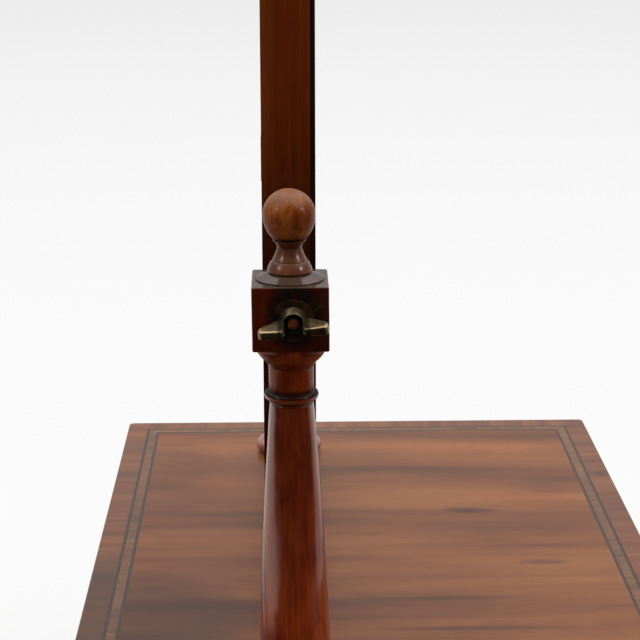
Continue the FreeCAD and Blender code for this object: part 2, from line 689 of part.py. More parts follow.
def finial_turning():
    """Ball finial on a bell-shaped foot and a neck, with its peg below height 0."""
    neck_z = FINIAL_BELL + FINIAL_GROOVE + FINIAL_NECK_RISE
    collar_z = neck_z + FINIAL_COLLAR_RISE
    collar_top = collar_z + FINIAL_COLLAR
    ball_bottom = collar_top + FINIAL_QUIRK
    ball_z = ball_bottom + FINIAL_BALL_RISE
    section = Turning(-FINIAL_PEG)
    section.line(FINIAL_PEG_RADIUS, -FINIAL_PEG)
    section.line(FINIAL_PEG_RADIUS, 0.0)
    section.line(FINIAL_SEAT_RADIUS, 0.0)
    edge_radius = FINIAL_SEAT_RADIUS + (FINIAL_BELL_RADIUS - FINIAL_SEAT_RADIUS) * FINIAL_EDGE_OUT
    edge = (edge_radius, FINIAL_BELL_EDGE * FINIAL_EDGE_UP)
    section.arc(edge, (FINIAL_BELL_RADIUS, FINIAL_BELL_EDGE))
    side_radius = (FINIAL_BELL_RADIUS + FINIAL_BELL_TOP_RADIUS) / 2 + FINIAL_BELL_BULGE
    section.arc((side_radius, (FINIAL_BELL_EDGE + FINIAL_BELL) / 2), (FINIAL_BELL_TOP_RADIUS, FINIAL_BELL))
    groove_radius = FINIAL_BELL_TOP_RADIUS - FINIAL_GROOVE
    section.line(groove_radius, FINIAL_BELL)
    section.line(groove_radius, FINIAL_BELL + FINIAL_GROOVE)
    flare = FINIAL_NECK_RADIUS + (groove_radius - FINIAL_NECK_RADIUS) * FINIAL_NECK_FLARE
    section.arc((flare, neck_z - FINIAL_NECK_RISE / 2), (FINIAL_NECK_RADIUS, neck_z))
    lip = FINIAL_NECK_RADIUS + (FINIAL_COLLAR_RADIUS - FINIAL_NECK_RADIUS) * FINIAL_LIP_BITE
    lip_z = neck_z + FINIAL_COLLAR_RISE * FINIAL_LIP_RISE
    section.arc((lip, lip_z), (FINIAL_COLLAR_RADIUS, collar_z))
    section.line(FINIAL_COLLAR_RADIUS, collar_top)
    quirk_radius = FINIAL_COLLAR_RADIUS - FINIAL_QUIRK_DEPTH
    section.line(quirk_radius, collar_top)
    section.line(quirk_radius, ball_bottom)
    section.line(FINIAL_COLLAR_RADIUS, ball_bottom)
    spread = FINIAL_BALL_RADIUS - FINIAL_COLLAR_RADIUS
    sweep = (spread ** 2 + FINIAL_BALL_RISE ** 2) / (2 * spread)
    half_turn = math.asin(FINIAL_BALL_RISE / sweep) / 2
    belly_radius = FINIAL_BALL_RADIUS - sweep + sweep * math.cos(half_turn)
    belly = (belly_radius, ball_z - sweep * math.sin(half_turn))
    section.arc(belly, (FINIAL_BALL_RADIUS, ball_z))
    crown = FINIAL_BALL_RADIUS * math.sqrt(0.5)
    section.arc((crown, ball_z + crown), (0.0, ball_z + FINIAL_BALL_RADIUS))
    return section.solid(-FINIAL_PEG)


def frame_ring(inset, levels):
    """Block with the frame's outline, drawn in by an inset, between two Y levels."""
    reach = FRAME_X - inset
    return box((-reach, reach), levels, (FRAME_BOTTOM_Z + inset, FRAME_TOP_Z - inset))


def frame_outline(inset, y):
    """Closed outline of the frame, drawn in by an inset, at one Y level."""
    reach = FRAME_X - inset
    low = FRAME_BOTTOM_Z + inset
    high = FRAME_TOP_Z - inset
    corners = [(-reach, low), (reach, low), (reach, high), (-reach, high), (-reach, low)]
    return Part.makePolygon([vector(x, y, z) for x, z in corners])


def sight_cutter():
    """Opening of the frame with its chamfered front edge."""
    opening = frame_ring(FRAME_MEMBER, (FRAME_FRONT_Y, FRAME_BACK_Y))
    outlines = [frame_outline(FRAME_MEMBER - SIGHT_CHAMFER, FRAME_FRONT_Y)]
    outlines.append(frame_outline(FRAME_MEMBER, FRAME_FRONT_Y + SIGHT_CHAMFER))
    return opening.fuse(Part.makeLoft(outlines, True, True))


def mitre_keys():
    """Thin slip glued into a saw cut across each mitre of the frame."""
    levels = (POST_Y - KEY_THICKNESS / 2, POST_Y + KEY_THICKNESS / 2)
    keys = []
    for side in SIDES.values():
        for corner_z, inward in ((FRAME_BOTTOM_Z, 1), (FRAME_TOP_Z, -1)):
            corner = (side * FRAME_X, corner_z)
            along = (corner[0] - side * KEY_LEG, corner_z)
            up = (corner[0], corner_z + inward * KEY_LEG)
            keys.append(prism([corner, along, up], "XZ", levels))
    return keys


def back_screws():
    """Screws through the backboard into the frame: three on each upright side, two at top and foot."""
    y = FRAME_BACK_Y - BACKBOARD_RECESS
    reach_x = FRAME_X - FRAME_MEMBER + BACKBOARD_LAP - BACKBOARD_PLAY - BACK_SCREW_INSET
    reach_z = FRAME_HEIGHT / 2 - FRAME_MEMBER + BACKBOARD_LAP - BACKBOARD_PLAY - BACK_SCREW_INSET
    row_z = reach_z * BACK_SCREW_SPREAD_Z
    row_x = reach_x * BACK_SCREW_SPREAD_X
    places = [(side * reach_x, row * row_z) for side in SIDES.values() for row in (-1, 0, 1)]
    places += [(side * row_x, row * reach_z) for side in SIDES.values() for row in (-1, 1)]
    return [
        screw(
            BACK_SCREW_RADIUS,
            BACK_SCREW_HEAD_RADIUS,
            BACK_SCREW_HEAD,
            BACKBOARD - BACK_SCREW_HEAD + BACK_SCREW_GRIP,
            vector(x, y, PIVOT_Z + z),
            vector(0, -1, 0),
        )
        for x, z in places
    ]


def glass_blocks(glass_back):
    """Small blocks glued in the rebate behind the glass: two to each side of the frame."""
    board_y = FRAME_BACK_Y - BACKBOARD_RECESS - BACKBOARD
    wall = FRAME_MEMBER - GLASS_LAP - GLASS_PLAY
    inner = FRAME_MEMBER - GLASS_PLAY
    levels = (glass_back, board_y)
    half = GLASS_BLOCK_LENGTH / 2
    blocks = []
    for side in SIDES.values():
        for row in (-1, 1):
            middle = PIVOT_Z + row * GLASS_BLOCK_SPREAD * FRAME_HEIGHT / 2
            reach = (side * (FRAME_X - wall), side * (FRAME_X - inner))
            blocks.append(box(reach, levels, (middle - half, middle + half)))
            rail = PIVOT_Z + row * (FRAME_HEIGHT / 2 - wall)
            edge = PIVOT_Z + row * (FRAME_HEIGHT / 2 - inner)
            middle = side * GLASS_BLOCK_SPREAD * FRAME_X
            blocks.append(box((middle - half, middle + half), levels, (rail, edge)))
    return blocks


def make_glass(levels):
    """Mirror glass with a bevel round its front."""
    inset = FRAME_MEMBER - GLASS_LAP
    front, back = levels
    slab = frame_ring(inset, (front + GLASS_BEVEL_DROP, back))
    outlines = [frame_outline(inset, front + GLASS_BEVEL_DROP), frame_outline(inset + GLASS_BEVEL, front)]
    return slab.fuse(Part.makeLoft(outlines, True, True)).removeSplitter()


def outward(side, distance, y=0.0, z=0.0):
    """Point beside the swing axis, at a distance from the middle of the object."""
    return vector(side * distance, PIVOT_Y + y, PIVOT_Z + z)


def pivot_set(side):
    """Plate, stud, screws, spacer and the cutters for them, on one side."""
    plate_floor = FRAME_X - PLATE
    head_floor = plate_floor - STUD_HEAD_DEPTH
    nut_base = BLOCK_FACE_X + WASHER + NUT_GAP
    half_width = PLATE_WIDTH / 2
    half_height = PLATE_HEIGHT / 2
    y_range = (PIVOT_Y - half_width, PIVOT_Y + half_width)
    z_range = (PIVOT_Z - half_height, PIVOT_Z + half_height)
    plate = box((side * plate_floor, side * FRAME_X), y_range, z_range)
    recess = plate.copy()
    stud = rod(STUD_RADIUS, outward(side, plate_floor), outward(side, nut_base + NUT_LENGTH - STUD_RECESS))
    half_head = STUD_HEAD / 2
    head_y = (PIVOT_Y - half_head, PIVOT_Y + half_head)
    head = box((side * head_floor, side * plate_floor), head_y, (PIVOT_Z - half_head, PIVOT_Z + half_head))
    screws = [
        screw(
            PLATE_SCREW_RADIUS,
            PLATE_SCREW_HEAD_RADIUS,
            PLATE,
            PLATE_SCREW_GRIP,
            outward(side, FRAME_X, z=row * PLATE_SCREW_SPACING / 2),
            vector(-side, 0, 0),
        )
        for row in (-1, 1)
    ]
    hole = rod(STUD_RADIUS + GLUE_FIT, outward(side, plate_floor), outward(side, FRAME_X))
    plate = plate.cut([hole] + screws)
    spacer_end = FRAME_X + PIVOT_GAP - SPACER_GAP
    spacer = rod(SPACER_RADIUS, outward(side, FRAME_X), outward(side, spacer_end))
    spacer = spacer.cut(rod(STUD_RADIUS + GLUE_FIT, outward(side, FRAME_X), outward(side, spacer_end)))
    cutters = [recess, head] + screws
    return plate, stud.fuse(head), screws, spacer, cutters


def make_mirror():
    """Swinging mirror: mitred frame, black edge lines, keys, glass, blocks, backboard and pivots."""
    y_range = (FRAME_FRONT_Y, FRAME_BACK_Y)
    glass_front = FRAME_FRONT_Y + FRAME_LIP
    glass_back = glass_front + GLASS
    board_back = FRAME_BACK_Y - BACKBOARD_RECESS
    board_front = board_back - BACKBOARD
    glass_rebate = frame_ring(FRAME_MEMBER - GLASS_LAP - GLASS_PLAY, (glass_front, FRAME_BACK_Y))
    board_rebate = frame_ring(FRAME_MEMBER - BACKBOARD_LAP, (board_front, FRAME_BACK_Y))
    frame_x = (-FRAME_X, FRAME_X)
    frame_z = (FRAME_BOTTOM_Z, FRAME_TOP_Z)
    edging = mitred_strips(frame_x, frame_z, EDGING, "XZ", (FRAME_FRONT_Y, FRAME_FRONT_Y + EDGING))
    keys = mitre_keys()
    screws = back_screws()
    plate_screws = []
    spacers = []
    pieces = {}
    cutters = [sight_cutter(), glass_rebate, board_rebate] + edging + keys + screws
    for name, side in SIDES.items():
        plate, stud, fasteners, spacer, pivot_cutters = pivot_set(side)
        pieces[f"pivot_plate_{name}"] = [plate]
        pieces[f"pivot_stud_{name}"] = [stud]
        plate_screws += fasteners
        spacers.append(spacer)
        cutters += pivot_cutters
    members = mitred_strips(frame_x, frame_z, FRAME_MEMBER, "XZ", y_range)
    for name, member in zip(("stile_left", "stile_right", "bottom_rail", "top_rail"), members):
        pieces[name] = [member.cut(cutters)]
    board = frame_ring(FRAME_MEMBER - BACKBOARD_LAP + BACKBOARD_PLAY, (board_front, board_back))
    board = board.cut(screws)
    pieces["ebony_edging"] = edging
    pieces["mitre_keys"] = keys
    pieces["mirror_glass"] = [make_glass((glass_front, glass_back))]
    pieces["glass_blocks"] = glass_blocks(glass_back)
    pieces["backboard"] = [board]
    pieces["backboard_screws"] = screws
    pieces["plate_screws"] = plate_screws
    pieces["spacer_washers"] = spacers
    return pieces


def wing(direction):
    """One wing of a nut: an ear with a straight front edge and a sloping rear edge, nut axis along +X."""
    inner = WING_GAP / 2
    tip = WING_SPAN / 2
    outline = [(WING_ROOT_RISE, inner), (WING_REACH, inner), (WING_REACH, tip)]
    outline += [(WING_REACH - WING_TIP, tip), (WING_ROOT_RISE, inner + WING_ROOT)]
    points = [vector(x, direction * y, 0) for x, y in outline]
    plate = Part.Face(Part.makePolygon(points + points[:1])).extrude(vector(0, 0, WING_THICKNESS))
    free_x = WING_ROOT_RISE + SAME_PLACE
    corners = [edge for edge in upright_edges(plate) if edge.Vertexes[0].X > free_x]
    plate = plate.makeFillet(WING_TIP * WING_ROUND_SHARE, corners)
    rims = outer_edges(plate, 0.0) + outer_edges(plate, WING_THICKNESS)
    rims = [edge for edge in rims if edge.BoundBox.XMax > free_x]
    plate = plate.makeFillet(WING_THICKNESS * WING_EDGE_SHARE, rims)
    return moved(plate, 0, 0, -WING_THICKNESS / 2)


def wing_nut():
    """Wing nut along +X, its base at 0, with a plain bore for the stud and a shallow cup at its mouth."""
    base = vector(0, 0, 0)
    mouth = vector(NUT_LENGTH, 0, 0)
    nut = cone((NUT_BASE_RADIUS, NUT_MOUTH_RADIUS), base, mouth)
    for direction in (LEFT, RIGHT):
        nut = nut.fuse(wing(direction))
    cup = rod(NUT_CUP_RADIUS, vector(NUT_LENGTH - NUT_CUP, 0, 0), mouth)
    bore = rod(STUD_RADIUS + RUNNING_FIT, base, vector(WING_SPAN, 0, 0))
    return nut.cut([cup, bore])


def make_nuts():
    """Wing nuts and the washers under them."""
    pieces = {}
    washers = []
    turns = {"left": NUT_TURN_LEFT, "right": NUT_TURN_RIGHT}
    nut = wing_nut()
    for name, side in SIDES.items():
        placed = nut.copy()
        if side == LEFT:
            placed.rotate(vector(0, 0, 0), vector(0, 0, 1), 180)
        placed.rotate(vector(0, 0, 0), vector(1, 0, 0), turns[name])
        place = outward(side, BLOCK_FACE_X + WASHER + NUT_GAP)
        pieces[f"wing_nut_{name}"] = [moved(placed, place.x, place.y, place.z)]
        face = outward(side, BLOCK_FACE_X)
        top = outward(side, BLOCK_FACE_X + WASHER)
        ring = rod(WASHER_RADIUS, face, top)
        washers.append(ring.cut(rod(STUD_RADIUS + RUNNING_FIT, face, top)))
    pieces["nut_washers"] = washers
    return pieces


def write(pieces):
    """Write one file for each node, a single solid or a group of separate solids."""
    os.makedirs("parts", exist_ok=True)
    for name, shapes in pieces.items():
        solids = [solid for shape in shapes for solid in shape.Solids]
        node = solids[0] if len(solids) == 1 else Part.Compound(solids)
        node.exportStep(f"parts/{name}.step")


def main():
    """Build every piece and write it."""
    pieces = {}
    for make in (make_top, make_carcase, make_plinth, make_feet, make_posts, make_mirror, make_nuts):
        pieces.update(make())
    for name, side in SIDES.items():
        pieces.update(make_drawer(name, side))
    write(pieces)


main()
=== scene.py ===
"""Dressing table mirror on a box: its finishes, turned posts, cast nuts, screws, light and camera.

Metres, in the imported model's own frame: +X along the box, +Y to its back and +Z up. Sizes that are
written as millimetres are multiplied by MM where they are used.
"""

import json
import logging
import math
from dataclasses import dataclass
from enum import Enum
from typing import Any, Iterable, Sequence

import bpy
import numpy as np
from mathutils import Matrix, Vector, noise

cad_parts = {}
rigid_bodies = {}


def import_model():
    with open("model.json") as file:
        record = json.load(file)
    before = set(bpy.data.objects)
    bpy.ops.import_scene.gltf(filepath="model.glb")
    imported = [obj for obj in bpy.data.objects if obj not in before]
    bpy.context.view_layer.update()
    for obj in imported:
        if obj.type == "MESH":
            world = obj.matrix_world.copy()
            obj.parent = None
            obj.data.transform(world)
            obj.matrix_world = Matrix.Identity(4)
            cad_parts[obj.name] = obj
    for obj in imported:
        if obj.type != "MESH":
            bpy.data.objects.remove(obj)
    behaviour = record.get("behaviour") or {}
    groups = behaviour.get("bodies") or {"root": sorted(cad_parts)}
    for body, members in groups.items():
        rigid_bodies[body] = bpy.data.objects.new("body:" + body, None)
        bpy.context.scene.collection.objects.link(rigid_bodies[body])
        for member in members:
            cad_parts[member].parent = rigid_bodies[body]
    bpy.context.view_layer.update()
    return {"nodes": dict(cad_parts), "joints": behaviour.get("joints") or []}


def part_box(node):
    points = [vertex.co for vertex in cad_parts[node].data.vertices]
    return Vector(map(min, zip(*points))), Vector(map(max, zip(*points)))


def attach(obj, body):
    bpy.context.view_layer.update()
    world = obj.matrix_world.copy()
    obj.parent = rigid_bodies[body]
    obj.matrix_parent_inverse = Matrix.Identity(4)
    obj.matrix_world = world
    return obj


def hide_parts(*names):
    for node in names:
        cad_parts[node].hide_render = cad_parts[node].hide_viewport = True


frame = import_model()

LOG = logging.getLogger("dressing_mirror")
MM = 0.001
SIDES = {"left": -1, "right": 1}
LEANS = {"left": 0.45, "right": 0.0}
NUT_TURNS = {"left": -5.3, "right": 11.0}
# Marks that the turned pieces and the nuts carry: grime together with painted shade, rubbed edges together
# with painted highlights, settled dust together with a painted sheen, and dulled polish.
DIRT_AND_SHADE = "dirt_and_shade"
WEAR_AND_HIGHLIGHT = "wear_and_highlight"
DUST_AND_SHEEN = "dust_and_sheen"
DULL = "dull"

Colour = tuple[float, float, float]
Point = tuple[float, float]
Triple = tuple[float, float, float]


@dataclass(frozen=True)
class Layout:
    """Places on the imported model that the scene's own pieces and patterns are set out from, in metres."""

    top_z: float
    top_low: Vector
    top_high: Vector
    post_x: float
    post_y: float
    pivot_y: float
    pivot_z: float
    seat_z: float
    nut_x: float
    frame_x: float

    @classmethod
    def from_frame(cls) -> "Layout":
        """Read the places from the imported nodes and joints.

        Returns:
            The layout of the model at rest.
        """
        low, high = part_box("top_crossbanding")
        ball_low, ball_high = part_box("finial_right")
        turn = next(j for j in frame["joints"] if j["name"] == "wing_nut_right_turn")
        return cls(
            top_z=high.z,
            top_low=low,
            top_high=high,
            post_x=turn["pos_m"][0],
            post_y=(ball_low.y + ball_high.y) / 2,
            pivot_y=turn["pos_m"][1],
            pivot_z=turn["pos_m"][2],
            seat_z=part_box("post_right")[1].z,
            nut_x=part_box("wing_nut_right")[0].x,
            frame_x=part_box("stile_right")[1].x,
        )


PLACES = Layout.from_frame()


class Graph:
    """Node tree, with a short call that adds a node and links it."""

    def __init__(self, tree: bpy.types.NodeTree) -> None:
        """Keep the tree.

        Args:
            tree: Tree that the nodes go into.
        """
        self.tree = tree

    def add(self, kind: str, inputs: dict[Any, Any] | None = None, **settings: Any) -> bpy.types.Node:
        """Add a node.

        Args:
            kind: Blender's name of the node type.
            inputs: Value or output socket for each input, by name or number.
            **settings: Properties of the node.

        Returns:
            The new node.
        """
        node = self.tree.nodes.new(kind)
        for key, value in settings.items():
            setattr(node, key, value)
        for key, value in (inputs or {}).items():
            if isinstance(value, bpy.types.NodeSocket):
                self.tree.links.new(value, node.inputs[key])
            else:
                node.inputs[key].default_value = value
        return node

    def math(self, operation: str, first: Any, second: Any = 0.0, third: Any = 0.0) -> bpy.types.NodeSocket:
        """Do arithmetic on values or sockets and return the result's socket."""
        node = self.add("ShaderNodeMath", {0: first, 1: second, 2: third}, operation=operation)
        return node.outputs[0]

    def split(self, vector: bpy.types.NodeSocket) -> list[bpy.types.NodeSocket]:
        """Return the three parts of a vector."""
        return list(self.add("ShaderNodeSeparateXYZ", {0: vector}).outputs)

    def rise(
        self, value: bpy.types.NodeSocket, ends: Point, results: tuple[Any, Any] = (0.0, 1.0)
    ) -> bpy.types.NodeSocket:
        """Return a smooth rise from one result to another while a value goes from one end to the other."""
        inputs = {0: value, 1: ends[0], 2: ends[1], 3: results[0], 4: results[1]}
        return self.add("ShaderNodeMapRange", inputs, interpolation_type="SMOOTHSTEP").outputs[0]


class Sheet(Graph):
    """Node graph of one material, with short calls for the nodes that the finishes share."""

    def __init__(self, name: str) -> None:
        """Start an empty graph.

        Args:
            name: Name of the new material.
        """
        self.material = bpy.data.materials.new(name)
        self.material.use_nodes = True
        super().__init__(self.material.node_tree)
        self.tree.nodes.clear()
        self.position = self.add("ShaderNodeTexCoord").outputs["Object"]

    def join(self, x: Any, y: Any, z: Any) -> bpy.types.NodeSocket:
        """Return a vector made of three parts."""
        return self.add("ShaderNodeCombineXYZ", {0: x, 1: y, 2: z}).outputs[0]

    def noise(
        self,
        vector: bpy.types.NodeSocket,
        scale: Triple,
        shift: Triple = (0, 0, 0),
        detail: float = 2,
        warp: float = 0,
    ) -> bpy.types.NodeSocket:
        """Add a noise pattern.

        Args:
            vector: Place that the pattern is read at.
            scale: Waves per metre along each part of the vector.
            shift: Move of the pattern, in waves.
            detail: Number of finer layers.
            warp: Distortion of the pattern.

        Returns:
            The pattern's value, about 0.5 on average.
        """
        mapped = self.add("ShaderNodeMapping", {"Vector": vector, "Location": shift, "Scale": scale})
        inputs = {"Vector": mapped.outputs[0], "Scale": 1.0, "Detail": detail, "Distortion": warp}
        return self.add("ShaderNodeTexNoise", inputs).outputs[0]

    def ramp(self, value: Any, stops: Sequence[tuple[float, Any]]) -> bpy.types.NodeSocket:
        """Turn a value into a colour or a grey.

        Args:
            value: Value from 0 to 1.
            stops: Places along the ramp, each with a colour or a number.

        Returns:
            The colour's socket.
        """
        node = self.add("ShaderNodeValToRGB", {0: value})
        elements = node.color_ramp.elements
        while len(elements) < len(stops):
            elements.new(0.5)
        for element, (place, colour) in zip(elements, stops):
            element.position = place
            shade = (colour,) * 3 if isinstance(colour, (int, float)) else colour
            element.color = (*shade, 1.0)
        return node.outputs[0]

    def blend(self, under: Any, over: Any, share: Any, mode: str = "MIX") -> bpy.types.NodeSocket:
        """Lay one colour over another by a share from 0 to 1 and return the result's socket."""
        colours = [c if isinstance(c, bpy.types.NodeSocket) else (*c, 1.0) for c in (under, over)]
        inputs = {0: share, 6: colours[0], 7: colours[1]}
        return self.add("ShaderNodeMix", inputs, data_type="RGBA", blend_type=mode).outputs[2]

    def attribute(self, name: str) -> bpy.types.NodeSocket:
        """Return a number that the mesh carries at each point."""
        return self.add("ShaderNodeAttribute", attribute_name=name).outputs["Fac"]

    def patchy(
        self, name: str, pattern: bpy.types.NodeSocket, stops: Sequence[tuple[float, Any]]
    ) -> bpy.types.NodeSocket:
        """Return a number that the mesh carries, broken up by a pattern."""
        return self.math("MULTIPLY", self.attribute(name), self.ramp(pattern, stops))

    def bump(self, height: Any, depth: float, strength: float = 1.0) -> bpy.types.NodeSocket:
        """Return a normal roughened by a height pattern of a depth in metres."""
        inputs = {"Height": height, "Distance": depth, "Strength": strength}
        return self.add("ShaderNodeBump", inputs).outputs[0]

    def surface(self, **inputs: Any) -> bpy.types.Material:
        """Close the graph with a principled surface.

        Args:
            **inputs: Values or sockets for the surface, with underscores for the blanks in their names.

        Returns:
            The finished material.
        """
        named = {key.replace("_", " "): value for key, value in inputs.items()}
        shader = self.add("ShaderNodeBsdfPrincipled", named)
        self.add("ShaderNodeOutputMaterial", {"Surface": shader.outputs[0]})
        return self.material


class Grain(Enum):
    """Direction of a board's fibres."""

    LENGTH = "along x"
    DEPTH = "along y"
    UPRIGHT = "along z"
    ACROSS_EDGE = "square to the nearest edge of the top"


@dataclass(frozen=True)
class Mark:
    """Dark patch on the top, for a smudge in the polish and for painted shade alike: its middle and half
    lengths in millimetres.
    """

    x: float
    y: float
    half_x: float
    half_y: float
    depth: float
    ragged: float = 1.6


@dataclass(frozen=True)
class Wood:
    """Wood with streaks, fibres and pores along its grain, under polish or bare."""

    name: str
    grain: Grain
    deep: Colour
    middle: Colour
    pale: Colour
    stripe: float = 9.0
    stripe_share: float = 0.45
    pore_share: float = 0.5
    roughness: float = 0.42
    polish: float = 0.6
    polish_roughness: float = 0.2
    polish_index: float = 1.5
    specular: float = 0.25
    fibre_share: float = 0.18
    figure: Triple = (3, 26, 26)
    marks: tuple[Mark, ...] = ()
    # The ageing flag lays painted shade, painted highlights and a painted sheen along with grime, rubbed
    # edges and settled dust; the post flag lays painted shade on the stiles round the pivot.
    aged_with_painted_light: bool = False
    shaded_by_post: bool = False
    dust_and_sheen: Colour = (0.055, 0.034, 0.023)
    near_black: Colour = (0.006, 0.005, 0.004)

    def fibres(self, sheet: Sheet) -> bpy.types.NodeSocket:
        """Turn the place on the object so that its first part runs along the fibres.

        Args:
            sheet: Graph of the material.

        Returns:
            The turned place.
        """
        x, y, z = sheet.split(sheet.position)
        if self.grain is Grain.LENGTH:
            return sheet.join(x, y, z)
        if self.grain is Grain.DEPTH:
            return sheet.join(y, x, z)
        if self.grain is Grain.UPRIGHT:
            return sheet.join(z, x, y)
        middle = (PLACES.top_low + PLACES.top_high) / 2
        half = (PLACES.top_high - PLACES.top_low) / 2
        to_end = sheet.math("SUBTRACT", half.x, sheet.math("ABSOLUTE", x))
        offset = sheet.math("ABSOLUTE", sheet.math("SUBTRACT", y, middle.y))
        to_front = sheet.math("SUBTRACT", half.y, offset)
        by_end = sheet.math("LESS_THAN", to_end, to_front)
        turned = {0: by_end, 4: sheet.join(y, x, z), 5: sheet.join(x, y, z)}
        return sheet.add("ShaderNodeMix", turned, data_type="VECTOR").outputs[1]

    def smudges_and_shade(self, sheet: Sheet) -> bpy.types.NodeSocket | None:
        """Add the smudges and the painted shade up and return their darkness, or None where there are none.
        """
        x, y, _ = sheet.split(sheet.position)
        total = None
        ragged = sheet.noise(sheet.position, (90, 40, 1), detail=3)
        for mark in self.marks:
            across = sheet.math("DIVIDE", sheet.math("SUBTRACT", x, mark.x * MM), mark.half_x * MM)
            along = sheet.math("DIVIDE", sheet.math("SUBTRACT", y, mark.y * MM), mark.half_y * MM)
            spread = sheet.math("ADD", sheet.math("POWER", across, 2.0), sheet.math("POWER", along, 2.0))
            ragged_spread = sheet.math("MULTIPLY_ADD", ragged, mark.ragged, spread)
            shade = sheet.math("MULTIPLY", sheet.ramp(ragged_spread, [(0.5, 1.0), (1.0, 0.0)]), mark.depth)
            total = shade if total is None else sheet.math("MAXIMUM", total, shade)
        return total

    def build(self, piece: str, shift: float) -> bpy.types.Material:
        """Make the material for one piece.

        Args:
            piece: Name of the piece, for the material's name.
            shift: Move of the pattern in the plank, so that pieces differ.

        Returns:
            The material.
        """
        sheet = Sheet(f"{self.name}_{piece}")
        along = self.fibres(sheet)
        start = (shift, 3 * shift, 7 * shift)
        stripes = 1.0 / (self.stripe * MM)
        slow = sheet.noise(along, self.figure, start, detail=3, warp=0.6)
        stripe = sheet.noise(along, (2.2, stripes, stripes), start, detail=3, warp=0.35)
        fibre = sheet.noise(along, (16, 800, 800), start, detail=4)
        pores = sheet.noise(along, (130, 2300, 2300), start, detail=1)
        tone = sheet.math("MULTIPLY", stripe, self.stripe_share)
        tone = sheet.math("MULTIPLY_ADD", slow, 1 - self.fibre_share - self.stripe_share, tone)
        tone = sheet.math("MULTIPLY_ADD", fibre, self.fibre_share, tone)
        colour = sheet.ramp(tone, [(0.36, self.deep), (0.5, self.middle), (0.64, self.pale)])
        pitted = sheet.ramp(pores, [(0.6, 0.0), (0.74, 1.0)])
        dark = tuple(c * 0.25 for c in self.deep)
        colour = sheet.blend(colour, dark, sheet.math("MULTIPLY", pitted, self.pore_share))
        if self.marks:
            colour = sheet.blend(colour, dark, self.smudges_and_shade(sheet))
        # Painted shade on the outer faces of the stiles: darkest below the pivot and fading out well above
        # it, where the post and its block shade the stile.
        if self.shaded_by_post:
            x, _, z = sheet.split(sheet.position)
            ends = (PLACES.frame_x - 4 * MM, PLACES.frame_x - 0.5 * MM)
            outer = sheet.rise(sheet.math("ABSOLUTE", x), ends)
            painted_shade = sheet.rise(z, (PLACES.pivot_z + 12 * MM, PLACES.pivot_z + 75 * MM), (0.78, 0.0))
            colour = sheet.blend(colour, dark, sheet.math("MULTIPLY", painted_shade, outer))
        rough = sheet.math("MULTIPLY_ADD", slow, 0.2, self.roughness - 0.1)
        polish: Any = self.polish
        if self.aged_with_painted_light:
            colour, rough, polish = self.age(sheet, colour, rough)
        relief = sheet.math("SUBTRACT", sheet.math("MULTIPLY", fibre, 0.4), pitted)
        ripple = sheet.noise(sheet.position, (160, 160, 160), start, detail=2)
        return sheet.surface(
            Base_Color=colour,
            Roughness=rough,
            Specular_IOR_Level=self.specular,
            Normal=sheet.bump(relief, 0.03 * MM, 0.5),
            Coat_Weight=polish,
            Coat_Roughness=self.polish_roughness,
            Coat_IOR=self.polish_index,
            Coat_Normal=sheet.bump(ripple, 0.05 * MM, 0.25),
        )

    def age(
        self, sheet: Sheet, colour: bpy.types.NodeSocket, rough: bpy.types.NodeSocket
    ) -> tuple[bpy.types.NodeSocket, bpy.types.NodeSocket, bpy.types.NodeSocket]:
        """Lay grime and painted shade in the hollows, settled dust and a painted sheen on the ledges, and
        rub the polish thin on the edges, with painted highlights there.

        Args:
            sheet: Graph of the material.
            colour: Colour of the clean wood.
            rough: Roughness of the clean wood.

        Returns:
            The aged colour, roughness and polish.
        """
        cloud = sheet.noise(sheet.position, (420, 420, 420), detail=4)
        # One mark carries grime together with painted shade, one rubbed edges together with painted
        # highlights, one settled dust together with a painted sheen.
        darkening = sheet.patchy(DIRT_AND_SHADE, cloud, [(0.25, 0.75), (0.6, 1.0)])
        rubbed_and_highlit = sheet.patchy(WEAR_AND_HIGHLIGHT, cloud, [(0.35, 0.1), (0.65, 1.0)])
        pale_wear_and_highlight = tuple(min(1.0, 1.5 * c + 0.02) for c in self.pale)
        colour = sheet.blend(colour, pale_wear_and_highlight, rubbed_and_highlit)
        dust_and_sheen_share = sheet.patchy(DUST_AND_SHEEN, cloud, [(0.2, 0.7), (0.6, 1.0)])
        darkened = tuple(0.5 * c for c in self.deep)
        colour = sheet.blend(colour, darkened, sheet.ramp(darkening, [(0.0, 0.0), (0.5, 1.0)]))
        colour = sheet.blend(colour, self.dust_and_sheen, dust_and_sheen_share)
        deep_dirt_and_shade = sheet.ramp(darkening, [(0.5, 0.0), (1.0, 1.0)])
        colour = sheet.blend(colour, self.near_black, deep_dirt_and_shade)
        rough = sheet.math("MULTIPLY_ADD", sheet.math("MAXIMUM", darkening, dust_and_sheen_share), 0.25, rough)
        dull = sheet.math("MAXIMUM", sheet.math("MULTIPLY", deep_dirt_and_shade, 0.8), sheet.attribute(DULL))
        return colour, rough, sheet.math("MULTIPLY_ADD", dull, -self.polish, self.polish)


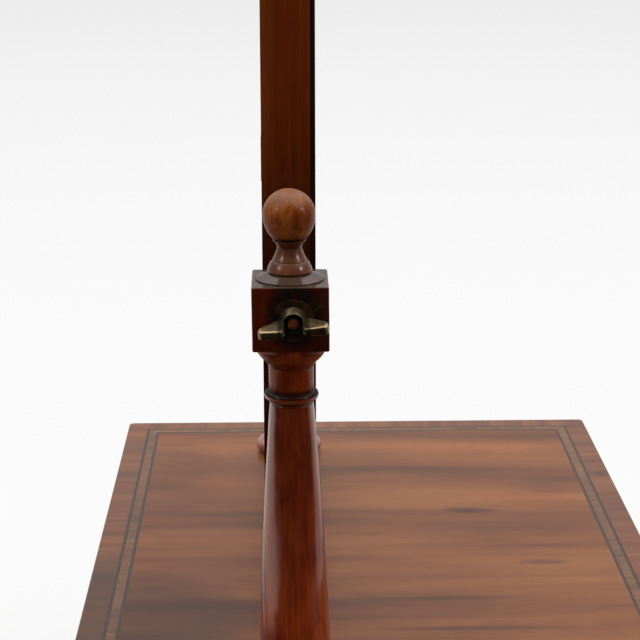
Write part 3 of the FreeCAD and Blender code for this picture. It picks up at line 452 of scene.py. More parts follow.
@dataclass(frozen=True)
class Brass:
    """Cast brass gone brown, brighter where fingers rub it and where highlights are painted, and nearly
    black in its corners and where shade is painted.
    """

    name: str = "aged_brass"
    bright: Colour = (0.45, 0.34, 0.16)
    brown: Colour = (0.23, 0.172, 0.085)
    black: Colour = (0.022, 0.017, 0.012)
    roughness: float = 0.4
    metal: float = 1.0
    specular: float = 0.5
    rubbed_and_highlit: bool = False

    def build(self, piece: str) -> bpy.types.Material:
        """Make the material for one piece.

        Args:
            piece: Name of the piece, for the material's name.

        Returns:
            The material.
        """
        sheet = Sheet(f"{self.name}_{piece}")
        cloud = sheet.noise(sheet.position, (260, 260, 260), detail=5, warp=0.4)
        grit = sheet.noise(sheet.position, (1500, 1500, 1500), detail=3)
        colour = sheet.ramp(cloud, [(0.3, self.black), (0.44, self.brown), (0.75, self.bright)])
        # Pale rubbed brass with painted highlights, then blackening with painted shade, where the mesh
        # marks them.
        if self.rubbed_and_highlit:
            wear_and_highlight = sheet.patchy(WEAR_AND_HIGHLIGHT, cloud, [(0.3, 0.5), (0.6, 1.0)])
            colour = sheet.blend(sheet.blend(self.brown, colour, 0.75), self.bright, wear_and_highlight)
            colour = sheet.blend(colour, self.black, sheet.attribute(DIRT_AND_SHADE))
        rough = sheet.math("MULTIPLY_ADD", grit, 0.3, self.roughness - 0.15)
        return sheet.surface(
            Base_Color=colour,
            Metallic=self.metal,
            Roughness=rough,
            Specular_IOR_Level=self.specular,
            Normal=sheet.bump(sheet.math("MULTIPLY_ADD", cloud, 3.0, grit), 0.06 * MM, 0.7),
        )


@dataclass(frozen=True)
class Steel:
    """Dull iron screws with brown rust in patches."""

    name: str = "dull_steel"
    clean: Colour = (0.33, 0.32, 0.31)
    rust: Colour = (0.09, 0.045, 0.025)

    def build(self, piece: str) -> bpy.types.Material:
        """Make the material for one piece.

        Args:
            piece: Name of the piece, for the material's name.

        Returns:
            The material.
        """
        sheet = Sheet(f"{self.name}_{piece}")
        patches = sheet.noise(sheet.position, (520, 520, 520), detail=4)
        rusty = sheet.ramp(patches, [(0.42, 0.0), (0.62, 1.0)])
        return sheet.surface(
            Base_Color=sheet.blend(self.clean, self.rust, rusty),
            Metallic=sheet.math("SUBTRACT", 1.0, sheet.math("MULTIPLY", rusty, 0.7)),
            Roughness=sheet.math("MULTIPLY_ADD", rusty, 0.35, 0.38),
            Normal=sheet.bump(patches, 0.03 * MM, 0.5),
        )


@dataclass(frozen=True)
class Silvering:
    """Old silvered glass, with faint clouds and small dark spots where the silver has gone."""

    name: str = "silvered_glass"
    silver: Colour = (0.86, 0.88, 0.87)
    spot: Colour = (0.11, 0.09, 0.07)

    def build(self, piece: str) -> bpy.types.Material:
        """Make the material for one piece.

        Args:
            piece: Name of the piece, for the material's name.

        Returns:
            The material.
        """
        sheet = Sheet(f"{self.name}_{piece}")
        specks = sheet.noise(sheet.position, (260, 260, 260), detail=4)
        where = sheet.noise(sheet.position, (14, 14, 14), detail=3)
        spots = sheet.ramp(specks, [(0.66, 0.0), (0.72, 1.0)])
        lost = sheet.math("MULTIPLY", spots, sheet.ramp(where, [(0.5, 0.0), (0.68, 1.0)]))
        return sheet.surface(
            Base_Color=sheet.blend(self.silver, self.spot, lost),
            Metallic=1.0,
            Roughness=sheet.math("MULTIPLY_ADD", lost, 0.4, 0.025),
        )


@dataclass(frozen=True)
class Leather:
    """Waxed leather of the spacers, with a pebbled grain."""

    name: str = "waxed_leather"
    dark: Colour = (0.05, 0.022, 0.01)
    light: Colour = (0.15, 0.07, 0.035)

    def build(self, piece: str) -> bpy.types.Material:
        """Make the material for one piece.

        Args:
            piece: Name of the piece, for the material's name.

        Returns:
            The material.
        """
        sheet = Sheet(f"{self.name}_{piece}")
        cells = sheet.add("ShaderNodeTexVoronoi", {"Vector": sheet.position, "Scale": 1400.0}).outputs[0]
        cloud = sheet.noise(sheet.position, (300, 300, 300), detail=4)
        return sheet.surface(
            Base_Color=sheet.ramp(cloud, [(0.35, self.dark), (0.65, self.light)]),
            Roughness=0.55,
            Normal=sheet.bump(cells, 0.06 * MM, 0.6),
        )


# Dark patches on the top: the small ones are smudges in the polish; the three broad ones at the back,
# behind the mirror, are painted shade.
FIELD_MARKS = (
    Mark(63, -43, 6, 22, 0.75, 0.9),
    Mark(-2, -72, 5, 20, 0.5, 1.0),
    Mark(33, 10, 5, 16, 0.35),
    Mark(86, 97, 6, 22, 0.35),
    Mark(-41, -20, 4, 60, 0.5, 1.0),
    Mark(-72, -30, 4, 70, 0.55, 1.0),
    Mark(-60, 108, 62, 58, 0.55, 0.5),
    Mark(130, 118, 50, 45, 0.3, 0.5),
)
# The first is a smudge in the polish; the broad second one, behind the mirror, is painted shade.
BAND_MARKS = (Mark(108, -117, 20, 7, 0.75), Mark(-55, 130, 75, 60, 0.55, 0.4))
RED_DEEP = (0.09, 0.009, 0.0006)
RED_MIDDLE = (0.2, 0.022, 0.001)
RED_PALE = (0.31, 0.048, 0.003)
TOP_WOOD = Wood(
    "mahogany_veneer", Grain.DEPTH, (0.09, 0.024, 0.006), (0.175, 0.053, 0.012), (0.25, 0.085, 0.022),
    stripe=24.0, stripe_share=0.45, pore_share=0.25, roughness=0.5, polish=0.4, polish_roughness=0.25,
    specular=0.02, fibre_share=0.1, figure=(9, 40, 40), marks=FIELD_MARKS,
)
BAND_WOOD = Wood(
    "crossbanding", Grain.ACROSS_EDGE, (0.078, 0.022, 0.006), (0.15, 0.045, 0.012), (0.222, 0.072, 0.02),
    stripe=9.0, pore_share=0.25, roughness=0.5, polish=0.3, polish_roughness=0.3, specular=0.1,
    marks=BAND_MARKS,
)
STRIP_WOOD = Wood(
    "pale_strip", Grain.ACROSS_EDGE, (0.076, 0.029, 0.009), (0.13, 0.05, 0.016), (0.185, 0.076, 0.026),
    stripe=4.0, roughness=0.5, polish=0.3, polish_roughness=0.3, specular=0.1,
)
LINE_WOOD = Wood(
    "dark_line", Grain.ACROSS_EDGE, (0.02, 0.008, 0.003), (0.035, 0.014, 0.005), (0.055, 0.023, 0.009),
    stripe=3.0, roughness=0.5, polish=0.3, polish_roughness=0.3, specular=0.1,
)
EBONY = Wood(
    "ebony", Grain.UPRIGHT, (0.007, 0.002, 0.0008), (0.013, 0.004, 0.0012), (0.024, 0.008, 0.003),
    stripe=3.0, roughness=0.5, polish=0.15, polish_roughness=0.25, specular=0.05,
)
TURNED_WOOD = Wood(
    "turned_mahogany", Grain.UPRIGHT, RED_DEEP, RED_MIDDLE, RED_PALE,
    stripe=7.0, stripe_share=0.25, pore_share=0.3, fibre_share=0.3, figure=(50, 110, 110), roughness=0.4,
    polish=1.0, polish_roughness=0.12, polish_index=1.68, specular=0.03, aged_with_painted_light=True,
)
# Its pale colour for settled dust is also the painted sheen on the top of the ball.
BALL_WOOD = Wood(
    "finial_mahogany", Grain.UPRIGHT, (0.06, 0.009, 0.0008), (0.16, 0.031, 0.003), (0.29, 0.078, 0.012),
    stripe=5.0, stripe_share=0.35, pore_share=0.4, roughness=0.42, polish=0.5, polish_roughness=0.2,
    specular=0.05, figure=(110, 160, 160), aged_with_painted_light=True, dust_and_sheen=(0.36, 0.235, 0.15),
)
RUSTED_BRASS = Brass(
    "rusted_brass", bright=(0.22, 0.053, 0.012), brown=(0.12, 0.028, 0.007), black=(0.025, 0.008, 0.003),
    roughness=0.55, metal=0.1, specular=0.15,
)
# Brass of the washers, kept near black partly as painted shade round the nuts.
BLACK_BRASS_AND_SHADE = Brass(
    "blackened_brass_and_shade", bright=(0.06, 0.02, 0.006), brown=(0.012, 0.006, 0.003), black=(0.004, 0.003, 0.002),
    roughness=0.6, metal=0.0, specular=0.1,
)


def frame_wood(grain: Grain, shaded_by_post: bool = False) -> Wood:
    """Return the polished mahogany of the mirror frame, with painted shade round the pivot where the post
    shades it.
    """
    return Wood(
        "frame_mahogany", grain, (0.066, 0.0092, 0.0006), (0.134, 0.0205, 0.001), (0.2, 0.042, 0.003),
        stripe=8.0, stripe_share=0.45, pore_share=0.3, roughness=0.45, polish=0.4, polish_roughness=0.15,
        specular=0.03, shaded_by_post=shaded_by_post,
    )


def box_wood(grain: Grain) -> Wood:
    """Return the polished mahogany of the box with its fibres along one axis."""
    return Wood(
        "box_mahogany", grain, (0.07, 0.017, 0.005), (0.165, 0.045, 0.012), (0.25, 0.085, 0.025),
        stripe=10.0, stripe_share=0.5, roughness=0.45, polish=0.65, polish_roughness=0.24,
    )


def lining_wood(grain: Grain) -> Wood:
    """Return the bare oak of the drawer linings with its fibres along one axis."""
    return Wood(
        "oak_lining", grain, (0.26, 0.15, 0.07), (0.42, 0.27, 0.14), (0.52, 0.36, 0.2),
        stripe=3.5, stripe_share=0.4, pore_share=0.7, roughness=0.65, polish=0.05, polish_roughness=0.4,
    )


def board_wood(grain: Grain) -> Wood:
    """Return the bare pine of the hidden boards with its fibres along one axis."""
    return Wood(
        "pine_board", grain, (0.24, 0.12, 0.05), (0.4, 0.24, 0.11), (0.5, 0.33, 0.17),
        stripe=8.0, stripe_share=0.6, pore_share=0.15, roughness=0.7, polish=0.0,
    )


class Hand(Enum):
    """Way that a sharp edge of a flat piece is eased."""

    POLISHED = 0.45
    PLAIN = 0.25
    NONE = 0.0


@dataclass
class CadDressing:
    """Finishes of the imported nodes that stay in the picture, and the easing of their sharp edges."""

    count: int = 0

    def wood(self, finish: Wood, nodes: Iterable[str], hand: Hand = Hand.POLISHED) -> None:
        """Give nodes a wood each with its own part of the plank.

        Args:
            finish: Wood of the nodes.
            nodes: Names of the nodes.
            hand: Easing of their edges.
        """
        for name in nodes:
            self.count += 1
            self.dress(name, finish.build(name, 1.37 * self.count), hand)

    def dress(self, name: str, material: bpy.types.Material, hand: Hand = Hand.NONE) -> None:
        """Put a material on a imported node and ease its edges.

        Args:
            name: Node to dress.
            material: Finish for all of its faces.
            hand: Easing of its edges.
        """
        node = frame["nodes"][name]
        for slot in node.material_slots:
            slot.material = material
        if hand is not Hand.NONE:
            self.ease(node, hand.value * MM)
        LOG.info("dressed %s with %s", name, material.name)

    @staticmethod
    def ease(node: bpy.types.Object, width: float) -> None:
        """Round the sharp edges of a flat-sided node.

        Args:
            node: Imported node, whose own mesh stays as it is.
            width: Width of the rounded edge.
        """
        weld = node.modifiers.new("weld", "WELD")
        weld.merge_threshold = 0.005 * MM
        bevel = node.modifiers.new("eased edges", "BEVEL")
        bevel.width = width
        bevel.segments = 2
        bevel.limit_method = "ANGLE"
        bevel.angle_limit = math.radians(40)
        node.modifiers.new("even shading", "WEIGHTED_NORMAL")

    def run(self) -> None:
        """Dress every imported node."""
        self.wood(TOP_WOOD, ["top_field"], Hand.NONE)
        self.wood(BAND_WOOD, ["top_crossbanding"], Hand.NONE)
        self.wood(STRIP_WOOD, ["top_midband"], Hand.NONE)
        self.wood(LINE_WOOD, ["top_stringing"], Hand.NONE)
        self.wood(EBONY, ["ebony_edging"], Hand.NONE)
        self.wood(box_wood(Grain.LENGTH), ["top_board", "plinth_front"])
        self.wood(box_wood(Grain.DEPTH), ["end_left", "end_right", "plinth_left", "plinth_right"])
        feet = [f"foot_{row}_{side}" for row in ("front", "back") for side in SIDES]
        self.wood(box_wood(Grain.UPRIGHT), feet + ["partition"], Hand.NONE)
        self.wood(board_wood(Grain.LENGTH), ["back_panel", "bottom_board", "drawer_stops"], Hand.PLAIN)
        self.wood(frame_wood(Grain.UPRIGHT, shaded_by_post=True), ["stile_left", "stile_right"])
        self.wood(frame_wood(Grain.LENGTH), ["top_rail", "bottom_rail"])
        self.wood(frame_wood(Grain.LENGTH), ["mitre_keys"], Hand.NONE)
        self.wood(board_wood(Grain.UPRIGHT), ["backboard", "glass_blocks"], Hand.PLAIN)
        for side in SIDES:
            drawer = f"drawer_{side}"
            self.wood(box_wood(Grain.LENGTH), [f"{drawer}_front"])
            walls = [f"{drawer}_side_left", f"{drawer}_side_right"]
            self.wood(lining_wood(Grain.DEPTH), walls, Hand.PLAIN)
            self.wood(lining_wood(Grain.LENGTH), [f"{drawer}_back", f"{drawer}_bottom"], Hand.PLAIN)
            self.wood(EBONY, [f"{drawer}_stringing"], Hand.NONE)
            self.dress(f"{drawer}_knob", Brass(roughness=0.32).build(f"{drawer}_knob"))
            self.dress(f"{drawer}_knob_nut", Brass().build(f"{drawer}_knob_nut"))
            self.dress(f"pivot_plate_{side}", Brass().build(f"pivot_plate_{side}"))
        self.dress("nut_washers", BLACK_BRASS_AND_SHADE.build("nut_washers"))
        self.dress("plate_screws", Steel().build("plate_screws"))
        self.dress("post_screws", Steel().build("post_screws"))
        self.dress("mirror_glass", Silvering().build("mirror_glass"))
        self.dress("spacer_washers", Leather().build("spacer_washers"))


@dataclass
class Section:
    """Half section of a turned piece as (radius, height) points in millimetres, drawn upwards."""

    points: list[Point]

    def line(self, radius: float, height: float, steps: int = 1) -> None:
        """Draw a straight run to a point, cut into a number of steps."""
        start = self.points[-1]
        for i in range(1, steps + 1):
            share = i / steps
            out = start[0] + (radius - start[0]) * share
            self.points.append((out, start[1] + (height - start[1]) * share))

    def arc(self, through: Point, end: Point, steps: int = 10) -> None:
        """Draw a round run through one point to another.

        Args:
            through: Point on the way.
            end: Last point.
            steps: Number of short runs that the arc is cut into.
        """
        start = self.points[-1]
        centre = self.centre(start, through, end)
        stops = (start, through, end)
        first, middle, last = (math.atan2(p[1] - centre[1], p[0] - centre[0]) for p in stops)
        turn = (last - first) % math.tau
        if (middle - first) % math.tau > turn:
            turn -= math.tau
        radius = math.dist(start, centre)
        for i in range(1, steps + 1):
            angle = first + turn * i / steps
            self.points.append((centre[0] + radius * math.cos(angle), centre[1] + radius * math.sin(angle)))

    def arc_into(self, join: Point, through: Point, end: Point, steps: tuple[int, int]) -> None:
        """Draw a round run that goes smoothly into a second one.

        Args:
            join: Point where the two meet.
            through: Point on the second run.
            end: Last point.
            steps: Number of short runs of each.
        """
        start = self.points[-1]
        onward = self.centre(join, through, end)
        across = np.subtract(join, onward) / math.dist(join, onward)
        chord = np.subtract(start, join)
        centre = np.add(join, across * (chord @ chord) / (2 * chord @ across))
        halfway = np.subtract(start, centre) + np.subtract(join, centre)
        crown = centre + halfway / np.linalg.norm(halfway) * np.linalg.norm(np.subtract(join, centre))
        self.arc((crown[0], crown[1]), join, steps[0])
        self.arc(through, end, steps[1])

    @staticmethod
    def centre(first: Point, second: Point, third: Point) -> Point:
        """Return the middle of the circle through three points."""
        (ax, ay), (bx, by), (cx, cy) = first, second, third
        scale = 2 * (ax * (by - cy) + bx * (cy - ay) + cx * (ay - by))
        a, b, c = ax * ax + ay * ay, bx * bx + by * by, cx * cx + cy * cy
        x = (a * (by - cy) + b * (cy - ay) + c * (ay - by)) / scale
        y = (a * (cx - bx) + b * (ax - cx) + c * (bx - ax)) / scale
        return x, y

    def eased(self, ease: float, sharp: float = 20.0) -> list[Point]:
        """Return the points with their sharp corners rounded.

        Args:
            ease: Length of a corner that is rounded, in millimetres.
            sharp: Turn from which a corner is sharp, in degrees.

        Returns:
            The eased points.
        """
        out = [self.points[0]]
        for before, corner, after in zip(self.points, self.points[1:], self.points[2:]):
            back, on = np.subtract(before, corner), np.subtract(after, corner)
            lengths = np.linalg.norm(back), np.linalg.norm(on)
            turn = 180 - math.degrees(math.acos(np.clip(back @ on / (lengths[0] * lengths[1]), -1, 1)))
            if turn < sharp:
                out.append(corner)
                continue
            reach = [min(ease, 0.4 * length) / length for length in lengths]
            ends = [np.add(corner, back * reach[0]), np.add(corner, on * reach[1])]
            for share in (0.0, 1 / 3, 2 / 3, 1.0):
                pull = 2 * share * (1 - share) * np.array(corner)
                bent = (1 - share) ** 2 * ends[0] + pull + share ** 2 * ends[1]
                out.append((bent[0], bent[1]))
        out.append(self.points[-1])
        return out


@dataclass
class Ring:
    """One level of a turned piece: round, or square with rounded corners where it has a corner size."""

    reach: float
    height: float
    corner: float = 0.0

    def radius(self, angle: float) -> float:
        """Return how far the outline is from the axis in one direction."""
        if self.corner == 0.0:
            return self.reach
        u, v = sorted((abs(math.cos(angle)), abs(math.sin(angle))), reverse=True)
        inner = self.reach - self.corner
        if self.reach * v / u <= inner:
            return self.reach / u
        along = (u + v) * inner
        return along + math.sqrt(along ** 2 - 2 * inner ** 2 + self.corner ** 2)


def even_turns(count: int, shift: float = 0.0) -> list[float]:
    """Return directions spread evenly round an axis, moved on by a share of a step."""
    return [math.tau * (i + shift) / count for i in range(count)]


def turned_mesh(name: str, rings: Sequence[Ring], angles: Sequence[float]) -> bpy.types.Mesh:
    """Make a closed mesh of a turned piece about the Z axis, in millimetres.

    Args:
        name: Name of the mesh.
        rings: Its levels from the bottom up.
        angles: Directions of the points of each level.

    Returns:
        The mesh, with a fan of faces at both ends.
    """
    count = len(angles)
    points = [(0.0, 0.0, rings[0].height)]
    for ring in rings:
        for angle in angles:
            radius = ring.radius(angle)
            points.append((radius * math.cos(angle), radius * math.sin(angle), ring.height))
    points.append((0.0, 0.0, rings[-1].height))
    last = len(points) - 1
    top = 1 + (len(rings) - 1) * count
    faces = []
    for i in range(count):
        j = (i + 1) % count
        faces.append((0, 1 + j, 1 + i))
        faces.append((last, top + i, top + j))
        for level in range(len(rings) - 1):
            low, high = 1 + level * count, 1 + (level + 1) * count
            faces.append((low + i, low + j, high + j, high + i))
    mesh = bpy.data.meshes.new(name)
    mesh.from_pydata(points, [], faces)
    mesh.polygons.foreach_set("use_smooth", [True] * len(mesh.polygons))
    return mesh


def set_number(mesh: bpy.types.Mesh, name: str, values: np.ndarray) -> None:
    """Keep a number at each point of a mesh under a name that materials can read."""
    attribute = mesh.attributes.new(name, "FLOAT", "POINT")
    attribute.data.foreach_set("value", np.asarray(values, np.float32))


def mesh_points(mesh: bpy.types.Mesh) -> np.ndarray:
    """Return the points of a mesh as rows of x, y and z."""
    flat = np.zeros(3 * len(mesh.vertices), np.float32)
    mesh.vertices.foreach_get("co", flat)
    return flat.reshape(-1, 3).astype(float)


def smooth_step(low: float, high: float, values: np.ndarray) -> np.ndarray:
    """Return 0 below low, 1 above high and a smooth rise between, for each value."""
    share = np.clip((values - low) / (high - low), 0.0, 1.0)
    return share * share * (3 - 2 * share)


def baked(carrier: bpy.types.Object) -> bpy.types.Mesh:
    """Return what the modifiers of a linked object make of it, as a plain mesh."""
    graph = bpy.context.evaluated_depsgraph_get()
    return bpy.data.meshes.new_from_object(carrier.evaluated_get(graph))


def cut_away(piece: bpy.types.Object, cutter: bpy.types.Mesh) -> None:
    """Cut the shape of a mesh out of a piece.

    Args:
        piece: Linked piece that loses the material.
        cutter: Closed mesh of what goes.
    """
    tool = bpy.data.objects.new("cutter", cutter)
    bpy.context.scene.collection.objects.link(tool)
    cut = piece.modifiers.new("cut", "BOOLEAN")
    cut.object = tool
    cut.operation = "DIFFERENCE"
    cut.solver = "EXACT"
    piece.data = baked(piece)
    piece.modifiers.remove(cut)
    bpy.data.objects.remove(tool)


def add_piece(name: str, mesh: bpy.types.Mesh, material: bpy.types.Material) -> bpy.types.Object:
    """Link a finished mesh into the scene at the origin.

    Args:
        name: Name of the piece.
        mesh: Mesh in metres, in place.
        material: Finish of all its faces.

    Returns:
        The piece.
    """
    mesh.materials.clear()
    mesh.materials.append(material)
    piece = bpy.data.objects.new(name, mesh)
    bpy.context.scene.collection.objects.link(piece)
    return piece


def stand_in_for(piece: bpy.types.Object, node: str, body: str) -> None:
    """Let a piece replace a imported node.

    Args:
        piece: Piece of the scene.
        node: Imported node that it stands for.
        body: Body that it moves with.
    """
    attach(piece, body)
    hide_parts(node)
    LOG.info("%s stands for %s on %s", piece.name, node, body)


def section_marks(points: Sequence[Point], blur: float) -> tuple[np.ndarray, np.ndarray]:
    """Find the hollows and the edges of a half section.

    Args:
        points: Points of the section in millimetres.
        blur: Length over which a corner shows, in millimetres.

    Returns:
        How hollow and how sharp the section is at each point, from 0 to 1.
    """
    track = np.array(points)
    steps = np.diff(track, axis=0)
    lengths = np.linalg.norm(steps, axis=1)
    heading = np.unwrap(np.arctan2(steps[:, 1], steps[:, 0]))
    turn = np.zeros(len(track))
    turn[1:-1] = np.diff(heading)
    place = np.concatenate([[0.0], np.cumsum(lengths)])
    weight = np.exp(-(((place[:, None] - place[None, :]) / blur) ** 2))
    bend = weight @ turn
    return np.clip(-bend / 1.2, 0, 1), np.clip(bend / 1.6, 0, 1)


def leaning(degrees: float) -> Matrix:
    """Return a shear that leans a post and its finial to the back, with the ball left in place."""
    lean = Matrix.Identity(4)
    lean[1][2] = math.tan(math.radians(degrees))
    lean[1][3] = -lean[1][2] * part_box("finial_left")[1].z
    return lean


@dataclass
class TurnedPost:
    """Post with a turned column and a square block, sizes in millimetres above the top of the box."""

    side: str
    tenon_radius: float = 7.0
    tenon: float = 9.0
    ring_radius: float = 17.5
    ring: float = 7.0
    fillet_radius: float = 12.2
    fillet: float = 1.6
    pinch_radius: float = 10.6
    pinch: float = 3.2
    swell_radius: float = 13.35
    swell: float = 17.0
    waist_radius: float = 11.3
    column_radius: float = 7.85
    quirk: float = 0.35
    bead_radius: float = 8.15
    bead: float = 0.95
    astragal_radius: float = 9.75
    astragal: float = 3.5
    neck_radius: float = 8.1
    neck_hollow: float = 0.05
    neck: float = 8.5
    ogee: float = 7.05
    ogee_join: Point = (9.5, 2.8)
    ogee_crown: Point = (11.5, 4.9)
    arris_radius: float = 12.7
    shoulder: float = 2.1
    shoulder_radius: float = 12.9
    block: float = 27.0
    block_height: float = 23.3
    block_round: float = 0.55
    seat_radius: float = 12.2
    seat_step: float = 0.5
    finial_seat: float = 7.3
    seat_rise: float = 2.5
    stud_hole: float = 2.3
    ease: float = 0.25
    # Heights over which the turned part grows darker upwards, and lighter again from the neck up.
    darkening_heights: Point = (35.0, 120.0)
    lightening_heights: Point = (134.0, 146.0)
    dulled: Point = (132.0, 132.6)
    shinier: Point = (134.5, 137.0)

    @property
    def pivot(self) -> float:
        """Height of the swing axis above the top of the box."""
        return (PLACES.pivot_z - PLACES.top_z) / MM

    @property
    def neck_bottom(self) -> float:
        """Height of the line between the ring and the neck."""
        return self.pivot - self.block_height / 2 - self.shoulder - self.ogee - self.neck

    def turned_section(self) -> list[Point]:
        """Draw the turned part, from the tenon to the under side of the block.

        Returns:
            Points of the half section.
        """
        block_z = self.pivot - self.block_height / 2
        arris_z = block_z - self.shoulder
        neck_top = arris_z - self.ogee
        neck_bottom = self.neck_bottom
        ring_bottom = neck_bottom - self.astragal
        bead_bottom = ring_bottom - self.bead
        column_top = bead_bottom - self.quirk
        pinch_z = self.ring + self.fillet + self.pinch
        swell_z = pinch_z + self.swell
        section = Section([(self.tenon_radius, -self.tenon)])
        section.line(self.tenon_radius, 0.0)
        section.line(self.ring_radius - self.ring / 2, 0.0)
        section.arc((self.ring_radius, self.ring / 2), (self.ring_radius - self.ring / 2, self.ring), 16)
        section.line(self.fillet_radius, self.ring)
        section.line(self.fillet_radius, self.ring + self.fillet)
        section.line(self.pinch_radius, pinch_z, 3)
        section.arc_into(
            (self.swell_radius, swell_z),
            (self.waist_radius, (swell_z + column_top) / 2),
            (self.column_radius, column_top),
            (12, 40),
        )
        section.line(self.column_radius - self.quirk / 2, bead_bottom)
        section.arc((self.bead_radius, bead_bottom + self.bead / 2), (self.column_radius, ring_bottom), 8)
        crown = (self.astragal_radius, neck_bottom - 0.54 * self.astragal)
        section.arc(crown, (self.neck_radius, neck_bottom), 30)
        hollow = (self.neck_radius - self.neck_hollow, (neck_bottom + neck_top) / 2)
        section.arc(hollow, (self.neck_radius, neck_top), 8)
        join, crown = ((radius, neck_top + rise) for radius, rise in (self.ogee_join, self.ogee_crown))
        section.arc_into(join, crown, (self.arris_radius, arris_z), (10, 12))
        section.line(self.shoulder_radius, block_z, 3)
        return section.eased(self.ease)

    def block_rings(self) -> list[Ring]:
        """Set out the square block and the stepped seat of the finial.

        Returns:
            Levels from the under side of the block to the seat.
        """
        half = self.block / 2
        low, high = self.pivot - self.block_height / 2, self.pivot + self.block_height / 2
        turns = [math.radians(15 * i) for i in range(7)]
        rounding = self.block_round
        rings = []
        for angle in turns:
            inset, rise = rounding * (1 - math.sin(angle)), rounding * (1 - math.cos(angle))
            rings.append(Ring(half - inset, low + rise, rounding))
        rings += [Ring(half, low + (high - low) * i / 24, rounding) for i in range(2, 23)]
        for angle in reversed(turns):
            inset, rise = rounding * (1 - math.sin(angle)), rounding * (1 - math.cos(angle))
            rings.append(Ring(half - inset, high - rise, rounding))
        top = Section([(self.seat_radius + 0.5, high), (self.seat_radius + 0.15, high)])
        top.line(self.seat_radius, high)
        top.line(self.seat_radius, high + self.seat_step, 3)
        top.line(self.seat_radius - 0.2, high + self.seat_step)
        top.line(self.finial_seat, high + self.seat_rise, 5)
        top.line(self.finial_seat / 2, high + self.seat_rise)
        return rings + [Ring(radius, height) for radius, height in top.eased(0.1)]

    def directions(self) -> list[float]:
        """Return the directions of the points of a level, closer together at the block's corners."""
        spread = math.radians(42.2)
        side = [spread * (2 * i / 43 - 1) for i in range(44)]
        corner = [spread + (math.pi / 2 - 2 * spread) * i / 8 for i in range(1, 8)]
        return [quarter * math.pi / 2 + angle for quarter in range(4) for angle in side + corner]

    def build(self) -> bpy.types.Object:
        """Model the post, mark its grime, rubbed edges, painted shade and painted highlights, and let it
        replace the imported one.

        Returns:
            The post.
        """
        name = f"post_{self.side}"
        section = self.turned_section()
        block = self.block_rings()
        rings = [Ring(radius, height) for radius, height in section] + block
        angles = self.directions()
        mesh = turned_mesh(f"turned_{name}", rings, angles)
        hollow, sharp = section_marks(section, 0.9)
        points = mesh_points(mesh)
        per_ring = len(angles)
        dirt_and_shade = np.repeat(np.concatenate([hollow, np.zeros(len(block))]), per_ring)
        wear_and_highlight = np.repeat(np.concatenate([sharp, np.zeros(len(block))]), per_ring)
        dirt_and_shade, wear_and_highlight = (np.concatenate([[0.0], values, [0.0]]) for values in (dirt_and_shade, wear_and_highlight))
        block_dirt_and_shade, block_wear = self.block_marks(points)
        ring_dirt, ring_wear_and_highlight = self.ring_marks(points)
        height = points[:, 2]
        # Darker towards the top of the column, and lighter again from the neck up.
        darker_upward = 0.28 * smooth_step(*self.darkening_heights, height) - 0.16 * smooth_step(*self.lightening_heights, height)
        set_number(mesh, DIRT_AND_SHADE, np.max([dirt_and_shade, block_dirt_and_shade, ring_dirt, darker_upward], axis=0))
        set_number(mesh, WEAR_AND_HIGHLIGHT, np.max([0.5 * wear_and_highlight, block_wear, ring_wear_and_highlight], axis=0))
        on_top = height > self.pivot + self.block_height / 2 - 0.1
        set_number(mesh, DUST_AND_SHEEN, on_top)
        dull = 0.9 * smooth_step(*self.dulled, height) - 0.25 * smooth_step(*self.shinier, height)
        set_number(mesh, DULL, dull - 0.05 * on_top)
        self.soften(mesh, points)
        side = SIDES[self.side]
        place = Vector((side * PLACES.post_x, PLACES.post_y, PLACES.top_z))
        mesh.transform(leaning(LEANS[self.side]) @ Matrix.Translation(place) @ Matrix.Scale(MM, 4))
        piece = add_piece(f"turned_{name}", mesh, TURNED_WOOD.build(name, 2.3 * side))
        self.drill(piece)
        piece.modifiers.new("even shading", "WEIGHTED_NORMAL")
        stand_in_for(piece, name, "base")
        return piece

    def drill(self, piece: bpy.types.Object) -> None:
        """Cut the hole for the stud through the block.

        Args:
            piece: The post, in place.
        """
        ends = [Ring(self.stud_hole, end * self.block) for end in (-1, 1)]
        bit = turned_mesh("drill", ends, even_turns(48))
        place = Matrix.Translation((SIDES[self.side] * PLACES.post_x, PLACES.pivot_y, PLACES.pivot_z))
        bit.transform(place @ Matrix.Rotation(math.pi / 2, 4, "Y") @ Matrix.Scale(MM, 4))
        cut_away(piece, bit)

    def block_marks(self, points: np.ndarray) -> tuple[np.ndarray, np.ndarray]:
        """Find the grime round the nut, the painted shade on the block and its seat, the slightly darker
        other faces, and the rubbed edges on the block.

        Args:
            points: Points of the post in millimetres.

        Returns:
            Grime with painted shade, and rubbed edges, at each point, from 0 to 1.
        """
        half = self.block / 2
        x, y, z = points[:, 0] * SIDES[self.side], points[:, 1], points[:, 2] - self.pivot
        on_block = np.abs(z) <= self.block_height / 2 + 0.01
        near = [smooth_step(-2.2, -0.3, np.abs(x) - half), smooth_step(-2.2, -0.3, np.abs(y) - half)]
        near.append(smooth_step(-2.2, -0.3, np.abs(z) - self.block_height / 2))
        edge = np.max([near[0] * near[1], near[1] * near[2], near[0] * near[2]], axis=0)
        outer = (x > half - 0.5) & on_block
        reach = np.hypot((y + 1.5) / 10.0, (z - 1.5) / 12.5)
        # Painted shade over the whole outer face, deeper towards the front; the grime round the nut lies
        # over it.
        shade = 0.44 + 0.12 * smooth_step(3.0, 10.0, -y)
        darkening = (shade + (1 - shade) * (1 - smooth_step(0.75, 1.15, reach))) * outer
        foot = np.hypot(points[:, 0], points[:, 1])
        on_top = z > self.block_height / 2 - 0.7
        # Painted shadow: a dark line round the foot of the seat's step.
        line = 0.85 * (np.abs(foot - self.seat_radius) < 0.16) * on_top * (z < self.block_height / 2 + 0.45)
